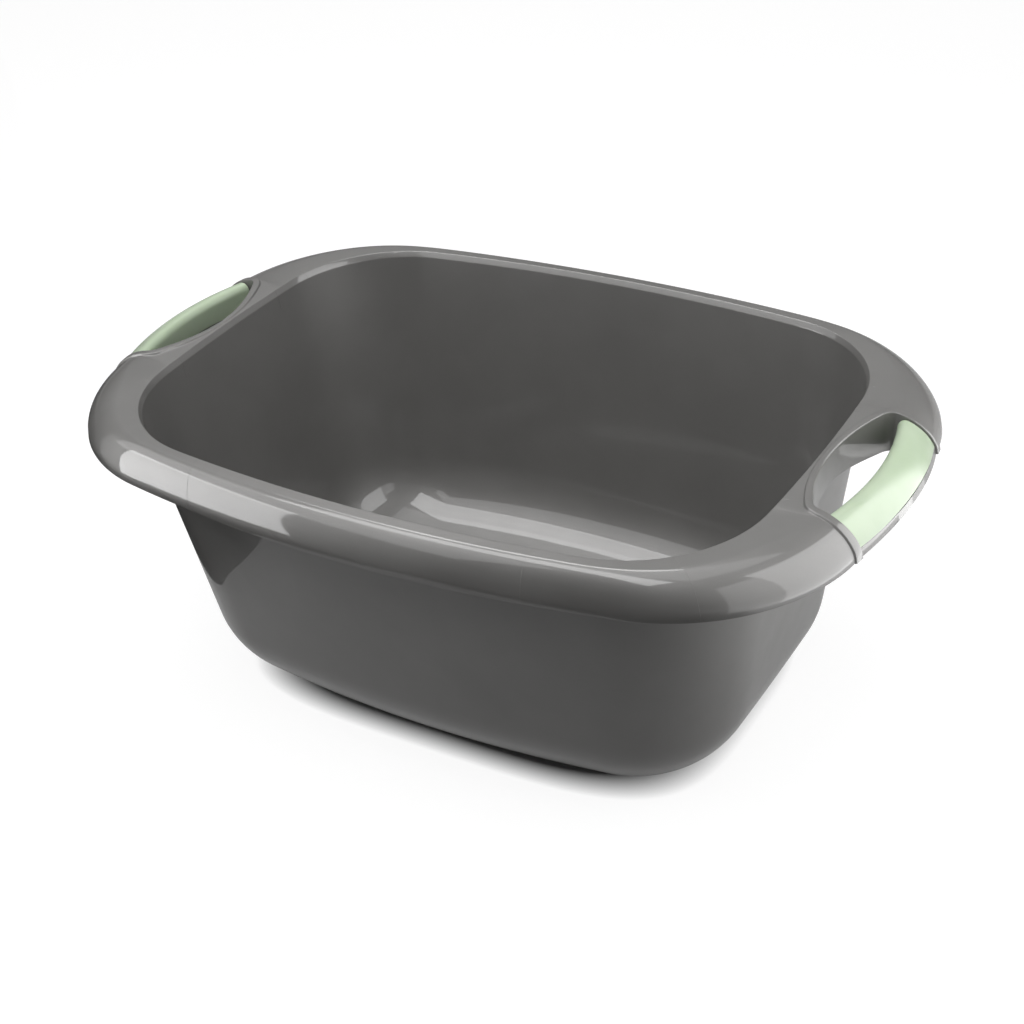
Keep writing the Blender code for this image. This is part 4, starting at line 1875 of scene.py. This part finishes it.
def mould_seams(basin: Basin) -> MouldSeams:
    """The seams: across the rim on the long sides, and in the lip beside the hand holes.

    Args:
        basin: The bowl and rim they lie on.

    Returns:
        The seams.
    """
    seams = [Seam(Column(Way.SIDE, 0.1185), 1, 1, down=0.012),
             Seam(Column(Way.SIDE, 0.1157), -1, 1), Seam(Column(Way.SIDE, 0.1235), -1, -1),
             Seam(Column(Way.SIDE, 0.1172), 1, -1),
             Seam(Column(Way.FAN, math.radians(36.8)), 1, -1)]
    for side_x in (1, -1):
        for side_y in (1, -1):
            seams.append(Seam(Column(Way.END, 0.0555), side_x, side_y, down=0.011, share=0.09))
            seams.append(Seam(Column(Way.END, 0.0890), side_x, side_y, share=0.09))
    return MouldSeams(basin, tuple(seams))


def studio() -> Studio:
    """The lights, placed where the photograph's reflections call for them.

    Returns:
        The studio.
    """
    middle = (0.0, 0.0, 0.15)
    rim_side = (-0.1, -0.17, 0.21)
    # The dark sheet, a painted dark reflection, lies in front of the tub and to its left.
    sheet = DarkSheet(((-1.52, 1.04), (-0.31, -0.02), (-0.255, -0.15), (-0.242, -0.22),
                       (-0.242, -0.311), (-0.105, -0.456), (0.43, -0.195), (1.2, -0.9),
                       (1.2, -3.0), (-3.5, -3.0), (-3.5, 1.0)))
    # Each row: name, place, aim, width, height, brightness, gleam.
    return Studio(sheet=sheet, boxes=(
        SoftBox("right_panel", (0.56, 0.20, 0.37), (0.0, 0.20, 0.37), 0.72, 0.70, 0.92, 3.10),
        SoftBox("right_edge", (0.56, -0.28, 0.30), (0.0, -0.28, 0.30), 0.24, 0.56, 0.00, 1.60),
        SoftBox("right_low", (0.47, 0.15, 0.02), (0.25, 0.15, 0.20), 0.80, 0.18, 0.00, 0.90),
        SoftBox("left_window", (-0.573, -0.539, 0.22), rim_side, 0.39, 0.42, 0.42, 5.90),
        SoftBox("left_high", (-0.72, -0.72, 0.76), rim_side, 1.30, 0.60, 0.00, 1.80),
        SoftBox("left_far", (-0.80, -0.27, 0.24), rim_side, 0.20, 0.44, 0.00, 0.50),
        SoftBox("ceiling_panel", (-0.2, 0.1, 2.0), (-0.2, 0.1, 0.0), 2.0, 1.6, 1.45, 0.00),
        SoftBox("front_strip", (-0.32, -0.99, 1.79), middle, 1.9, 0.75, 1.80, 4.00),
        SoftBox("back_light", (-0.73, 0.73, 1.9), middle, 0.9, 0.7, 0.00, 6.50),
    ))


def clear_leftovers() -> None:
    """Removes the cameras and lights that the frame doesn't use."""
    kept = set(frame["bodies"].values()) | set(frame["nodes"].values())
    for old in list(bpy.data.objects):
        if old not in kept and old.type in ("CAMERA", "LIGHT"):
            bpy.data.objects.remove(old, do_unlink=True)


def main() -> None:
    """Builds the tub, its grips and the studio, in that order."""
    logging.basicConfig(level=logging.INFO, format="%(name)s %(message)s")
    bpy.context.scene.view_settings.view_transform = "Standard"
    clear_leftovers()
    moulding, grip = tub_parts()
    grey = GreyPlastic().build()
    moulding.build(grey)
    mould_seams(moulding.basin).build(grey)
    green = GreenPlastic().build()
    grip.build("right_grip_cover", "right_grip", False, green)
    grip.build("left_grip_cover", "left_grip", True, green)
    studio().build()


if __name__ == "__main__":
    main()
